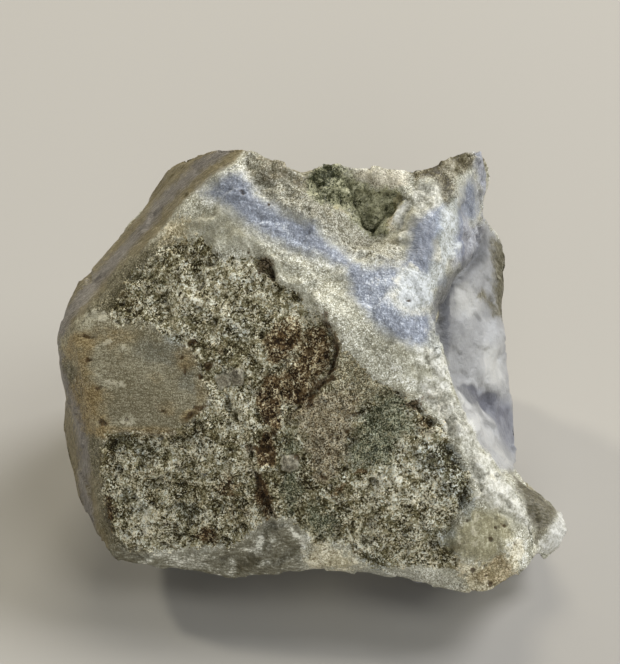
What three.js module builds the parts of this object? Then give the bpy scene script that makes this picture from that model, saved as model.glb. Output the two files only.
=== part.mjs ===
// A hand specimen of blue lace agate: one broken piece of a banded nodule with its host rock, lying on a small flat spot.
// Millimetres, +Z up, resting at z = 0. The broad broken face looks along -Y and up. The banded slab ends on the right at a free
// rim, and behind that rim the stone steps back into a hollow, a wing and a low foot.
import * as THREE from "three";

// Driving dimensions, mm
const NATURAL_SCALE = 1.0; // 1 is the specimen's own size, about 84 mm across
const FACET_MAX = 3.3; // longest edge left on the surface
const SWELL = 0.42; // slow unevenness of the broken faces
const SWELL_LENGTH = 9.0;
const CHIP = 0.26; // small chips
const CHIP_LENGTH = 3.6;
const EDGE_WEAR = 0.1; // how far the sharp ridges are rounded, 0 none to 1 fully
const FACE_WEAR_ROUNDS = 3; // smoothing rounds on the faces between the ridges
const BACK_WEAR_ROUNDS = 14; // the same on the back, which is worn rounder
const BREAK_SHARE = 0.9; // how flat the breaks across the back are
const BREAK_MARGIN = 9; // they start this far from the outline
const BREAKS = [
  // outward direction and distance from the middle of the front edge of the resting flat
  [0, 0.3, 0.95, 60.0],
  [-0.15, 0.97, 0.15, 50.5],
  [-0.8, 0.55, 0.2, 50.5],
  [0.75, 0.6, 0.25, 52.5],
  [0.1, 0.75, -0.65, 30.0],
  [-0.75, 0.1, -0.65, 22.0],
];
const BEST_ANGLE_TURN = 28; // degrees two facets may differ and still trade their shared edge

// Outline and relief of the stone, as named runs of surface points
const POINTS = {
  // lower and left outline, top of the left flank round to the lower right lobe
  S1: [-41.08, 10.72, 35.71],
  S2: [-40.65, 8.73, 31.12],
  S3: [-40.21, 6.71, 26.48],
  S4: [-40.81, 4.47, 19.8],
  S5: [-39.77, 0.87, 16.4],
  S6: [-38.24, -2.24, 13.71],
  S7: [-35.72, -5.85, 12.03],
  S8: [-34.04, -9.33, 10.56],
  S9: [-31.59, -13.1, 10.4],
  S10: [-25.27, -13.83, 9.36],
  S11: [-20.59, -13.93, 8.34],
  S12: [-16.58, -14.64, 8.2],
  S13: [-12.29, -15.17, 8.32],
  S14: [-7.85, -15.25, 9.08],
  S15: [-1.56, -15.68, 10.21],
  S16: [3.9, -15.5, 10.47],
  S17: [9.53, -14.04, 7.32],
  S18: [14.37, -13.52, 6.31],
  S19: [17.37, -15.09, 7.55],
  S20: [19.05, -17.11, 8.16],
  S21: [21.68, -18.5, 8.79],
  S22: [26.87, -19.8, 9.56],
  S23: [29.85, -19.17, 11.32],
  S24: [32.45, -18.29, 12.57],
  S25: [34.74, -15.74, 13.6],
  // outline of the foot and the wing, bottom to top
  S26: [37.71, -8.92, 5.91],
  S27: [38.69, -8.87, 5.98],
  S28: [39.77, -7.77, 6.68],
  S29: [40.92, -7.02, 7.75],
  S30: [43, -5.53, 9],
  S31: [42.9, -3.68, 9.91],
  S32: [41.47, -2.1, 10.42],
  S33: [40.02, -0.51, 10.95],
  S34: [37.08, 2.12, 11.22],
  S35: [34.76, 6.86, 11.01],
  S36: [37.63, 16.67, 5.84],
  S37: [37.99, 18.99, 7.42],
  S38: [37.07, 22.92, 11.28],
  S39: [35.97, 26.07, 15.79],
  S40: [35.79, 29.76, 21.05],
  S41: [35.42, 33.44, 26.31],
  S42: [35.97, 37.65, 32.33],
  S43: [35.98, 38.38, 35.1],
  S44: [34.17, 39.39, 38.3],
  S45: [31.52, 38.33, 42.01],
  // skyline, from the horn leftwards and down the upper left shoulder
  S46: [29.75, 33.4, 47.17],
  S47: [30.61, 35.09, 49.58],
  S48: [31.31, 35.97, 52.59],
  S49: [30.48, 35.45, 55.32],
  S50: [28.02, 32.69, 58.35],
  S51: [25.3, 29.33, 60.53],
  S52: [23.54, 28.14, 60.58],
  S53: [21.48, 26.49, 59.96],
  S54: [19.59, 24.94, 59.49],
  S55: [17.25, 23.85, 59.68],
  S56: [13.9, 22.23, 60.86],
  S57: [8.21, 22.32, 60.99],
  S58: [4.74, 22.5, 61.24],
  S59: [2.84, 22.77, 61.63],
  S60: [1.26, 21.87, 61.21],
  S61: [0.16, 20.61, 60.28],
  S62: [-1.09, 19.44, 60.36],
  S63: [-2.5, 19.89, 61],
  S64: [-3.9, 20.69, 62.15],
  S65: [-6.56, 21.32, 63.05],
  S66: [-8.61, 22.58, 63.98],
  S67: [-10.99, 23.04, 63.76],
  S68: [-14.77, 26.59, 61.86],
  S69: [-18.05, 29.77, 59.42],
  S70: [-22.13, 32.83, 56.81],
  S71: [-24.56, 34.05, 55.08],
  S72: [-26.19, 34.58, 52.35],
  S73: [-27.59, 31.93, 50.3],
  S74: [-28.65, 28.32, 48.63],
  S75: [-30.68, 26.48, 47.75],
  S76: [-31.69, 25.52, 46.37],
  S77: [-34.37, 24.27, 44.59],
  S78: [-35.21, 23.31, 43.22],
  S79: [-38.02, 20.82, 41.42],
  S80: [-39.6, 17.43, 40.05],
  S81: [-40.43, 14.29, 38.19],
  // free rim of the slab, top to bottom
  E1: [28.95, 29, 46.12],
  E2: [28.18, 23.22, 44.83],
  E3: [25.33, 17.43, 45.28],
  E4: [22.24, 12.93, 45.83],
  E5: [20.3, 9.41, 46.03],
  E6: [19.15, 6.4, 45.22],
  E7: [19.5, 4.51, 44.27],
  E8: [18.98, 2.87, 42.79],
  E9: [20, 1.23, 41.33],
  E10: [21.22, -0.69, 38.58],
  E11: [21.68, -2.62, 35.83],
  E12: [23.2, -4.2, 33.58],
  E13: [24.27, -5.6, 31.58],
  E14: [25.34, -7.44, 28.95],
  E15: [27.25, -8.02, 27.24],
  E16: [29.17, -8.88, 25.15],
  E17: [31.47, -10.55, 22.76],
  E18: [33.32, -11.87, 20.87],
  E19: [34.24, -13.72, 18.23],
  E20: [34.8, -14.95, 15.61],
  // bottom of the hollow behind that rim, top to bottom
  R1: [29.62, 35.97, 42.13],
  R2: [27.88, 33.08, 39.74],
  R3: [25.51, 29.95, 38.76],
  R4: [22.83, 26.85, 37.82],
  R5: [20.54, 23.59, 36.64],
  R6: [19.58, 21.38, 35.23],
  R7: [19.65, 19.19, 33.85],
  R8: [19.48, 17.83, 31.9],
  R9: [20.22, 15.66, 30.55],
  R10: [21.46, 12.92, 28.38],
  R11: [21.95, 8.63, 27.48],
  R12: [22.73, 4.76, 27.19],
  R13: [23.77, 1.54, 26.08],
  R14: [24.91, -0.88, 24.36],
  R15: [26.83, -2.35, 22.27],
  R16: [28.75, -3.81, 20.18],
  R17: [31.14, -5.65, 17.56],
  R18: [33.08, -6.38, 14.76],
  R19: [34.42, -6.78, 10.7],
  R20: [35.17, -9.42, 10.42],
  R21: [36.35, -10.88, 9.21],
  // broad front face, its left and lower ridge, the pit at the top and the horn
  L1: [-11.61, 19.52, 63.08],
  L2: [-15.22, 18.63, 60.95],
  L3: [-18.38, 17.38, 58.29],
  L4: [-21.08, 16.48, 56.14],
  L5: [-23.43, 14.42, 53.19],
  L6: [-26.62, 12.79, 49.99],
  L7: [-30.16, 11.06, 46.64],
  L8: [-33.3, 8.99, 43.69],
  L9: [-36.12, 7.18, 41.11],
  L10: [-36.65, 4.98, 38.83],
  L11: [-35.3, 1.43, 34.64],
  L12: [-33.48, -2.09, 30.48],
  L13: [-32.61, -4.7, 27.62],
  L14: [-32.7, -7.9, 22.19],
  L15: [-31.86, -11.11, 16.73],
  L16: [-30.7, -12.99, 13.17],
  L17: [-28.11, -13.97, 12.64],
  L18: [-22.52, -14.68, 13.37],
  L19: [-17.03, -14.86, 13.99],
  L20: [-11.58, -14.95, 14.74],
  L21: [-6.95, -16.1, 13.09],
  L22: [-1.54, -16.98, 12.71],
  L23: [3.84, -17.15, 13.33],
  L24: [8.44, -17.07, 13.45],
  L25: [13.12, -16.98, 11.83],
  L26: [16.94, -17.69, 11.7],
  P1: [-27.79, 6.93, 45.98],
  P2: [-21.49, 9.62, 51.56],
  P3: [-13.78, 13.58, 58.09],
  P4: [-24.56, 1.69, 40.24],
  P5: [-16.74, 4.84, 47.36],
  P6: [-9.13, 9.21, 53.59],
  P7: [-29.25, -2.32, 33.64],
  P8: [-19.79, -3.89, 34.89],
  P9: [-10.59, -0.33, 41.71],
  P10: [-1.51, 3.59, 48.18],
  P11: [6.04, 6.18, 51.89],
  P12: [-27.79, -9.01, 23.21],
  P13: [-19.84, -10.5, 24.57],
  P14: [-10.56, -7.66, 32.11],
  P15: [-1.5, -4.13, 38.9],
  P16: [7.5, 0.17, 45.05],
  P17: [13.54, 2.31, 47.22],
  P18: [-24.78, -13.08, 16.53],
  P19: [-12.21, -13.13, 20.82],
  P20: [-1.5, -10.64, 28.74],
  P21: [6, -6.71, 35.22],
  P22: [13.5, -4.13, 38.9],
  P23: [18.11, -1.6, 40.77],
  P24: [-3.81, -14.36, 19.93],
  P25: [4.53, -13.72, 23.46],
  P26: [13.5, -10.15, 30.3],
  P27: [19.56, -7.18, 33.67],
  P28: [6.09, -16.55, 16.81],
  P29: [15.09, -15.45, 20.99],
  P30: [21.06, -12.36, 26.27],
  P31: [25.65, -13.72, 23.46],
  P32: [16.79, -17.51, 14.57],
  P33: [24.28, -18.21, 15.31],
  P34: [29.59, -16.47, 17.79],
  P35: [22.96, -19.17, 11.32],
  P36: [28.97, -18.52, 13.47],
  P37: [-7.35, -14.89, 17.26],
  T1: [-9.32, 19.79, 62.6],
  T2: [-7.41, 17.12, 60.53],
  T3: [-3.09, 15.79, 58.63],
  T4: [0.77, 14.02, 56.98],
  T5: [4.62, 12.25, 54.45],
  T6: [8.57, 9.01, 51.57],
  T7: [13.09, 10.49, 51.93],
  T8: [14.75, 13.55, 53.7],
  G1: [5.56, 20.67, 56.89],
  G2: [9.96, 19.41, 51.6],
  G3: [14.05, 20.83, 55.37],
  G4: [7.13, 21.59, 59.07],
  G5: [3.13, 19.35, 59.36],
  G6: [11.28, 19.26, 59.23],
  G7: [14.1, 19.98, 60.26],
  G8: [15.93, 17.56, 57.67],
  G9: [1.86, 15.79, 57.76],
  G10: [6.21, 12.66, 52.43],
  G11: [10.93, 13.35, 51.66],
  H1: [16.68, 21.86, 58.58],
  H2: [20.27, 21.23, 58.55],
  H3: [20.95, 18.89, 56.95],
  H4: [23.35, 25.02, 58.74],
  H5: [17.76, 13.57, 55.47],
  H6: [20.19, 13.11, 53.06],
  H7: [16.03, 8.76, 52.08],
  H8: [18.26, 6.15, 49.23],
  H9: [22.11, 17.52, 54.13],
  H10: [24.22, 23.34, 55.46],
  H11: [26.73, 29.07, 56.67],
  H12: [25.16, 20.5, 49.67],
  H13: [28.29, 31.33, 51.19],
  H14: [22.9, 13.71, 48.69],
  H15: [13.62, 5.31, 49.77],
  M1: [-6.14, 13.14, 56.59],
  M2: [-1.53, 10.07, 53.96],
  M3: [3.79, 7.47, 51.98],
  M4: [9.84, 4.44, 48.53],
  M5: [15.09, 0.99, 44.47],
  M6: [-36.13, 12.78, 42.13],
  M7: [-32.29, 16.85, 46.21],
  M8: [-25.84, 20.84, 51.89],
  M9: [-20.18, 24.91, 57.71],
  M10: [-37.05, 0.95, 26.98],
  M11: [-36.41, -3.63, 20.44],
  M12: [-34.62, -7.57, 16.56],
  M13: [-38.54, 7.41, 37.08],
  // wing and foot
  W1: [31.09, 36.05, 39.62],
  W2: [33.3, 35.49, 36.21],
  W3: [34.62, 34.29, 30.13],
  W4: [31.35, 30.32, 30.57],
  W5: [26.56, 26.14, 33.32],
  W6: [23.4, 22.45, 33.28],
  W7: [27.46, 21.32, 28.17],
  W8: [32.89, 24.99, 25.57],
  W9: [24.99, 16.13, 25.99],
  W10: [30.59, 16.73, 21.62],
  W11: [33.61, 19.61, 19.63],
  W12: [26.32, 14.95, 22.57],
  W13: [30.15, 18.27, 16.85],
  W14: [35.1, 18.25, 11.59],
  W15: [28.07, 12, 20.1],
  W16: [31.48, 10.78, 14.87],
  W17: [34.59, 11.62, 9.09],
  W18: [25.15, 7.31, 24.73],
  W19: [27.98, 3.7, 21.32],
  W20: [31.02, 2.38, 16.81],
  W21: [28.24, 30.85, 36.56],
  W22: [30.55, 20.73, 23.85],
  K1: [35.29, -1.96, 14.11],
  K2: [38.05, -5.29, 13.71],
  K3: [40.48, -6.4, 12.12],
  K4: [37.42, -8.41, 11.87],
  K5: [39.72, -8.43, 10.1],
  K6: [37.2, -9.8, 9.01],
  // underside and back
  C1: [-24, -1, 0],
  C2: [-29, 17, 0],
  C3: [-21, 35, 0],
  C4: [0, 42, 0],
  C5: [20, 38, 0],
  C6: [31, 27, 0],
  C7: [29, 9, 0],
  C8: [14, -4, 0],
  C9: [-8, -4.5, 0],
  C10: [2, 16, 0],
  U1: [-33, -3, 7],
  U2: [-38, 12, 12],
  U3: [35, 4, 4],
  U4: [38, 0, 2],
  D1: [-40, 24, 21],
  D2: [-36, 40, 27],
  D3: [-30, 40, 13],
  D4: [-24, 50, 22],
  D5: [-8, 54, 12],
  D6: [12, 55, 17],
  D7: [28, 49, 13],
  D8: [35, 36, 9],
  D9: [33, 45, 24],
  A1: [-29, 40, 41],
  A2: [-20, 42, 47],
  A3: [-14, 51, 36],
  A4: [-3, 38, 50],
  A5: [6, 48, 38],
  A6: [10, 34, 53],
  A7: [20, 43, 45],
  A8: [28, 42, 42],
  A9: [22, 52, 30],
  A10: [34, 41, 34],
  A11: [2, 54, 25],
  A12: [-37, 30, 34],
  A13: [-33, 47, 20],
  D14: [42, 3, 1.8],
  D15: [39, 9, 1.5],
  D16: [37, 18, 5],
  D18: [38, 0, 0.9],
  D17: [0, 46, 6],
  U5: [-14, -8.5, 5],
  U6: [8, -9, 5],
  U7: [24, -8, 4.5],
  U8: [-34, 24, 8],
};

// Faces between those points, each three names wound so that it faces out
const SEEN_FACES = `
S80 S81 M6; M6 L8 S79; M6 S79 S80; P30 P26 P29; P21 P15 P20; P21 P26 P22; P25 P28 P29; P29 P26 P25
P25 P26 P21; P21 P20 P25; S81 S1 L9; L9 L8 M6; M6 S81 L9; P7 P8 P4; L9 L10 P4; P4 P8 P9
P1 L8 P4; P4 L8 L9; L9 S1 M13; M13 L10 L9; P27 P26 P30; E12 E11 P27; P27 E11 P22; P22 P26 P27
S13 S14 L20; S12 S13 L20; L22 S16 L23; P19 P20 P14; P20 P15 P14; P14 P15 P9; P9 P8 P14; L13 L14 P12
P12 P8 P7; P12 P7 L13; P12 L14 L15; L2 S68 S69; S67 S68 L1; L1 S68 L2; L2 P3 L1; L3 P3 L2
T3 S62 S63; L7 L8 P1; S79 L8 L7; P2 P6 P3; P9 P15 P10; L11 P7 P4; P4 L10 L11; L13 S4 M11
M11 L14 L13; S3 S4 M10; M10 S4 L13; E14 P30 E15; P27 P30 E14; E19 E18 P34; P34 E20 E19; S25 E20 P34
P34 S24 S25; P30 P29 P31; P31 P29 P33; P31 P33 P34; E17 E16 P31; P31 E18 E17; P34 E18 P31; P31 E16 E15
E15 P30 P31; P33 P29 P32; P24 P20 P19; P25 P20 P24; P24 P28 P25; L23 P28 P24; L22 L23 P24; S15 S16 L22
L18 S10 S11; L20 P19 L19; L19 S12 L20; S11 S12 L19; L19 L18 S11; L19 P19 P13; P13 P19 P14; P14 P8 P13
P13 P8 P12; L24 P28 L23; P29 P28 L24; L23 S16 L24; L24 S16 S17; T1 S66 S67; T1 S67 L1; L3 L2 M9
S69 S70 M9; M9 L2 S69; S70 S71 M9; L4 P3 L3; P2 P3 L4; L4 L5 P2; L4 L3 M9; M2 P6 P10
P10 M3 M2; T4 T3 M2; P5 P6 P2; P10 P6 P5; P5 P9 P10; P4 P9 P5; P5 P1 P4; P2 P1 P5
P2 L5 L6; L6 L5 S75; L7 P1 L6; L6 P1 P2; S2 S3 L11; M13 S1 S2; S2 L10 M13; L11 L10 S2
S6 L14 M11; L13 P7 L12; M10 L13 L12; L12 P7 L11; L11 S3 L12; L12 S3 M10; P18 L15 L16; P12 L15 P18
P13 P12 P18; P18 L18 L19; P18 L19 P13; E13 E12 P27; E13 P27 E14; P36 S24 P34; P34 P33 P36; P36 P33 S22
L21 L22 P24; L21 S14 S15; S15 L22 L21; L20 S14 L21; P32 P29 L25; L25 P29 L24; S17 S18 L25; L24 S17 L25
S65 S66 T1; S63 S64 T2; T2 T3 S63; T2 S64 S65; S65 T1 T2; L1 P3 T2; T1 L1 T2; G9 S61 S62
G9 S62 T3; G9 T3 T4; G5 S59 S60; S60 S61 G5; G5 S61 G9; G9 G1 G5; L4 M9 S72; S73 L4 S72
M9 S71 S72; S75 L5 M8; M8 S74 S75; M8 L5 L4; S73 S74 M8; M8 L4 S73; M7 L7 L6; M7 S77 S78
S78 S79 M7; M7 S79 L7; L6 S75 S76; S76 S77 M7; M7 L6 S76; S8 S9 L16; L16 L15 S8; M11 S4 S5
S6 M11 S5; P18 L16 L17; S9 S10 L17; L16 S9 L17; L17 S10 L18; L17 L18 P18; S23 S24 P36; P36 S22 S23
L26 S18 S19; L25 S18 L26; L26 P32 L25; G2 G3 G6; G6 G1 G2; G6 S56 S57; H11 S49 S50; S50 S51 H11
P37 L20 L21; L21 P24 P37; P37 P19 L20; P24 P19 P37; M1 T3 T2; M1 P6 M2; M2 T3 M1; P3 P6 M1
T2 P3 M1; P10 P15 P16; P16 P15 P21; P21 P22 P16; T5 G1 G9; T5 G10 G2; G2 G1 T5; G9 T4 T5
T5 T4 M2; T5 M3 G10; M2 M3 T5; S58 S59 G5; S8 L15 S7; S22 P33 P35; P35 P33 P32; G4 G1 G6
G6 S57 G4; G4 S57 S58; G5 G1 G4; S58 G5 G4; H4 S51 S52; H11 S51 H4; H4 H10 H11; H2 H10 H4
H1 H2 S54; H3 H9 H10; H3 H10 H2; H5 H9 H3; S48 S49 H11; H10 H9 S46; S46 H9 E1; E1 H9 H12
H12 E2 E1; H14 E2 H12; T8 H7 H5; T8 G3 G2; H5 H7 H6; H6 H7 H14; H6 H9 H5; H12 H9 H6
H6 H14 H12; G10 M3 P11; P11 P16 M4; P11 M3 P10; P11 P10 P16; M12 L14 S6; M12 S6 S7; L15 L14 M12
S7 L15 M12; L26 S19 S20; S20 P32 L26; P35 P32 S20; H4 S52 S53; S53 H2 H4; S54 H2 S53; G6 G3 G7
G7 S56 G6; G8 G3 T8; T8 H5 G8; G7 G3 G8; G8 H1 G7; G8 H5 H3; G8 H2 H1; H3 H2 G8
H1 S54 S55; S55 S56 G7; G7 H1 S55; S48 H11 S47; E3 E2 H14; P16 P22 M5; S21 S22 P35; S21 P35 S20
H13 H10 S46; H13 S46 S47; H11 H10 H13; S47 H11 H13; M5 P22 P23; E10 E9 P23; P22 E11 P23; P23 E11 E10
M4 P16 P17; P17 P16 M5; H15 M4 P17; P17 M5 E6; P11 M4 T6; T6 M4 H15; T6 G10 P11; P23 E9 E8
E8 M5 P23; H8 H15 P17; H8 P17 E6; H8 E6 E5; H8 H7 H15; H14 H7 H8; H15 H7 T7; T6 H15 T7
T7 H7 T8; E6 M5 E7; E7 M5 E8; E4 H14 H8; H8 E5 E4; E3 H14 E4; G11 T6 T7; G2 G10 G11
G11 G10 T6; T8 G2 G11; T7 T8 G11; W5 W21 R4; W5 R4 R5; S42 W21 W3; R8 R9 W7; W7 W5 W6
W6 R6 R7; W6 R7 R8; R8 W7 W6; R5 R6 W6; W6 W5 R5; W4 W21 W5; W3 W21 W4; W4 W5 W7
W2 W21 S42; S42 S43 W2; R2 W21 W2; W2 W1 R2; W2 S43 S44; S44 W1 W2; K6 S27 S28; K6 R21 S26
S26 S27 K6; S28 S29 K5; S29 S30 K5; K6 S28 K5; K5 K4 K6; S45 W1 S44; R4 W21 R3; R3 W21 R2
W7 R9 W9; W4 W7 W8; W16 S37 W14; W19 W16 W14; R16 W20 R15; W19 R14 R15; R15 W20 W16; R15 W16 W19
K6 K4 R20; R20 K4 R19; R20 R21 K6; R2 W1 R1; R1 W1 S45; S45 S46 R1; W9 R9 R10; R10 R11 W9
S41 W3 W4; S41 W4 W8; W8 S40 S41; S42 W3 S41; W16 W20 W17; W17 S37 W16; S36 S37 W17; K1 R17 R18
R13 R14 W19; R13 W18 R12; S32 S33 K2; R19 K4 K2; R18 R19 K2; K1 R18 K2; S33 S34 K2; K2 S34 K1
S35 W20 R16; W17 W20 S35; R16 R17 S35; S35 R17 K1; K1 S34 S35; S35 S36 W17; W15 W18 R13; W13 W18 W15
R13 W19 W15; W15 W19 W14; W15 W14 W13; K2 K4 K3; K3 S32 K2; K3 K4 K5; K3 S31 S32; K3 S30 S31
K5 S30 K3; W13 W14 S38; W14 S37 S38; W9 R11 W12; W12 W18 W13; W12 W13 W10; W12 R11 R12; R12 W18 W12
S38 S39 W11; W11 W13 S38; W10 W13 W11; W22 W7 W9; W8 W7 W22; W22 W9 W12; W12 W10 W22; W22 S40 W8
S39 S40 W22; W11 S39 W22; W22 W10 W11; E1 R1 S46; E1 R2 R1; E1 R3 R2; E1 E2 R3; E2 R4 R3
E2 R5 R4; E2 E3 R5; E3 R6 R5; E3 R7 R6; E3 E4 R7; E4 R8 R7; E4 R9 R8; E4 E5 R9
E5 E6 R9; E6 E7 R9; E7 E8 R9; E8 R10 R9; E8 R11 R10; E8 E9 R11; E9 E10 R11; E10 R12 R11
E10 E11 R12; E11 R13 R12; E11 E12 R13; E12 E13 R13; E13 R14 R13; E13 E14 R14; E14 E15 R14; E15 R15 R14
E15 E16 R15; E16 R16 R15; E16 E17 R16; E17 R17 R16; E17 E18 R17; E18 R18 R17; E18 E19 R18; E19 E20 R18
E20 R19 R18; E20 R20 R19; E20 S25 R20; S25 R21 R20
`;
const BACK_FACES = `
S9 U1 S10; S50 S52 S51; C10 C3 C4; S48 S50 S49; S48 S52 S50; C2 C10 C9; C2 C3 C10; C9 C1 C2
S2 D1 S3; D1 S2 S1; S81 D1 S1; S39 D8 S40; C10 C5 C7; C5 C10 C4; U1 S7 C2; A2 S69 S68
S67 A2 S68; A3 A2 S67; S69 A2 S70; S70 A2 S71; S65 S67 S66; S65 A3 S67; S65 A4 A3; C9 U5 C1
U1 C1 S10; C1 U1 C2; S12 C1 U5; S13 U5 C9; S14 S13 C9; S13 S12 U5; S39 S38 D8; D16 S36 S35
U7 C8 C7; C8 C10 C7; C8 C9 C10; U6 C8 S17; C8 U6 C9; S15 S14 C9; C5 C6 C7; C6 S35 C7
C6 D16 S35; C6 C5 D8; S38 C6 D8; D8 D7 S40; C5 D7 D8; S8 U1 S9; S8 S7 U1; S4 U2 S5
U2 S4 S3; A1 A2 A3; A4 A11 A3; S48 S47 S52; S47 S53 S52; S53 S47 A8; A7 A8 A9; C1 S11 S10
S12 S11 C1; S35 U3 C7; U3 U7 C7; D15 S34 S33; S34 U3 S35; U3 S34 D15; S21 U7 S22; S21 S20 U7
S37 S36 D16; C6 S37 D16; S37 C6 S38; C8 S18 S17; S20 S19 U7; S19 C8 U7; S19 S18 C8; C9 U6 S15
U6 S16 S15; S16 U6 S17; U2 S6 S5; S7 S6 C2; S6 U2 C2; D3 U8 D1; D1 U8 S3; U8 U2 S3
U8 D3 C3; U8 C3 C2; U2 U8 C2; A1 S73 A2; D4 A1 A3; D7 D6 A9; D6 D7 C5; S63 S62 A4
S65 S64 A4; S64 S63 A4; S60 S58 S61; S58 S60 S59; D6 A5 A9; A5 D6 A11; A5 A7 A9; S58 A5 S61
A5 S62 S61; A5 A11 A4; S62 A5 A4; S55 A7 S56; S54 S53 A8; A7 S54 A8; S55 S54 A7; U7 S23 S22
D14 S31 S30; D14 S32 S31; D14 D15 S33; S32 D14 S33; A2 S72 S71; S73 S72 A2; S75 S74 A1; S74 S73 A1
S77 D2 S78; S76 S75 A1; S77 S76 D2; A12 D1 S81; A12 D2 D1; A12 S81 S80; S79 A12 S80; A12 S79 S78
D2 A12 S78; A11 D5 A3; D5 D4 A3; D6 D5 A11; D3 D5 C3; D4 D5 D3; A7 A6 S56; A5 A6 A7
A6 S57 S56; A6 S58 S57; A6 A5 S58; D7 S41 S40; U3 D18 U7; D18 S23 U7; S76 A13 D2; A13 D4 D3
D4 A13 A1; A13 S76 A1; A13 D3 D1; D2 A13 D1; D17 D5 D6; D17 C5 C4; D17 D6 C5; C3 D17 C4
D5 D17 C3; D9 D7 A9; D9 S41 D7; S41 D9 S42; U4 U3 D15; U4 D18 U3; D14 U4 D15; S47 S46 A8
S46 S45 A8; A10 S45 S44; S43 A10 S44; A10 D9 A9; D9 A10 S42; A10 S43 S42; A8 A10 A9; S45 A10 A8
D18 S24 S23; S29 D14 S30; S25 S24 D18; U4 S28 D18; S28 U4 D14; S29 S28 D14; R21 S25 D18; S28 R21 D18
R21 S28 S27; S26 R21 S27
`;

// Ridges that stay crisp, each a run of names
const RIDGES = [
  "S1 S2 S3 S4 S5 S6 S7 S8 S9 S10 S11 S12 S13 S14 S15 S16 S17 S18 S19 S20 S21 S22 S23 S24 S25 S26 S27 S28 S29 S30 S31 S32 S33 S34 S35 S36 S37 S38 S39 S40 S41 S42 S43 S44 S45 S46 S47 S48 S49 S50 S51 S52 S53 S54 S55 S56 S57 S58 S59 S60 S61 S62 S63 S64 S65 S66 S67 S68 S69 S70 S71 S72 S73 S74 S75 S76 S77 S78 S79 S80 S81 S1",
  "L1 L2 L3 L4 L5 L6 L7 L8 L9 L10 L11 L12 L13 L14 L15 L16 L17 L18 L19 L20 L21 L22 L23 L24 L25 L26",
  "C1 C2 C3 C4 C5 C6 C7 C8 C9 C1",
  "S46 E1 E2 E3 E4 E5 E6 E7 E8 E9 E10 E11 E12 E13 E14 E15 E16 E17 E18 E19 E20 S25",
  "S46 R1 R2 R3 R4 R5 R6 R7 R8 R9 R10 R11 R12",
];

const names = Object.keys(POINTS);
const number = new Map(names.map((n, i) => [n, i]));
const V = names.map((n) => POINTS[n].map((c) => c * NATURAL_SCALE));
// Each facet is three vertex numbers and 1 if it is on the back
const read = (text, back) =>
  text
    .trim()
    .split(/\s*;\s*|\s*\n\s*/)
    .filter((f) => f)
    .map((f) => [...f.split(/\s+/).map((n) => number.get(n)), back]);
let T = [...read(SEEN_FACES, 0), ...read(BACK_FACES, 1)];
const key = (a, b) => (a < b ? a * 100000 + b : b * 100000 + a);
const ridge = new Set();
for (const run of RIDGES) {
  const r = run.split(/\s+/).map((n) => number.get(n));
  for (let i = 0; i + 1 < r.length; i++) ridge.add(key(r[i], r[i + 1]));
}

const sub = (a, b) => [a[0] - b[0], a[1] - b[1], a[2] - b[2]];
const cross = (a, b) => [
  a[1] * b[2] - a[2] * b[1],
  a[2] * b[0] - a[0] * b[2],
  a[0] * b[1] - a[1] * b[0],
];
const dot = (a, b) => a[0] * b[0] + a[1] * b[1] + a[2] * b[2];
const len = (a) => Math.sqrt(dot(a, a));
const normalOf = (t) => {
  const n = cross(sub(V[t[1]], V[t[0]]), sub(V[t[2]], V[t[0]]));
  const l = len(n) || 1;
  return [n[0] / l, n[1] / l, n[2] / l];
};
const smallestAngle = (a, b, c) => {
  const s = (p, q, r) => {
    const u = sub(V[q], V[p]),
      w = sub(V[r], V[p]);
    return Math.acos(Math.max(-1, Math.min(1, dot(u, w) / (len(u) * len(w) || 1))));
  };
  return Math.min(s(a, b, c), s(b, c, a), s(c, a, b));
};

function edgeFaces() {
  const m = new Map();
  T.forEach((t, i) => {
    for (let k = 0; k < 3; k++) {
      const e = key(t[k], t[(k + 1) % 3]);
      if (!m.has(e)) m.set(e, []);
      m.get(e).push(i);
    }
  });
  return m;
}

// Splits the longest edges until none is over FACET_MAX
function refine(limit) {
  for (let round = 0; round < 60; round++) {
    const m = edgeFaces();
    const long = [];
    for (const [e, faces] of m) {
      const a = Math.floor(e / 100000),
        b = e % 100000,
        l = len(sub(V[a], V[b]));
      if (l > limit) long.push([l, e, a, b, faces]);
    }
    if (!long.length) return;
    long.sort((p, q) => q[0] - p[0] || p[1] - q[1]);
    const busy = new Set();
    const gone = new Set();
    const made = [];
    for (const [, e, a, b, faces] of long) {
      if (faces.some((f) => busy.has(f))) continue;
      faces.forEach((f) => busy.add(f));
      const v = V.length;
      V.push([(V[a][0] + V[b][0]) / 2, (V[a][1] + V[b][1]) / 2, (V[a][2] + V[b][2]) / 2]);
      if (ridge.has(e)) {
        ridge.delete(e);
        ridge.add(key(a, v));
        ridge.add(key(v, b));
      }
      for (const f of faces) {
        const t = T[f];
        gone.add(f);
        for (let k = 0; k < 3; k++) {
          const p = t[k],
            q = t[(k + 1) % 3],
            r = t[(k + 2) % 3];
          if (key(p, q) === e) made.push([p, v, r, t[3]], [v, q, r, t[3]]);
        }
      }
    }
    T = T.filter((_, i) => !gone.has(i)).concat(made);
    swapEdges();
  }
}

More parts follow.
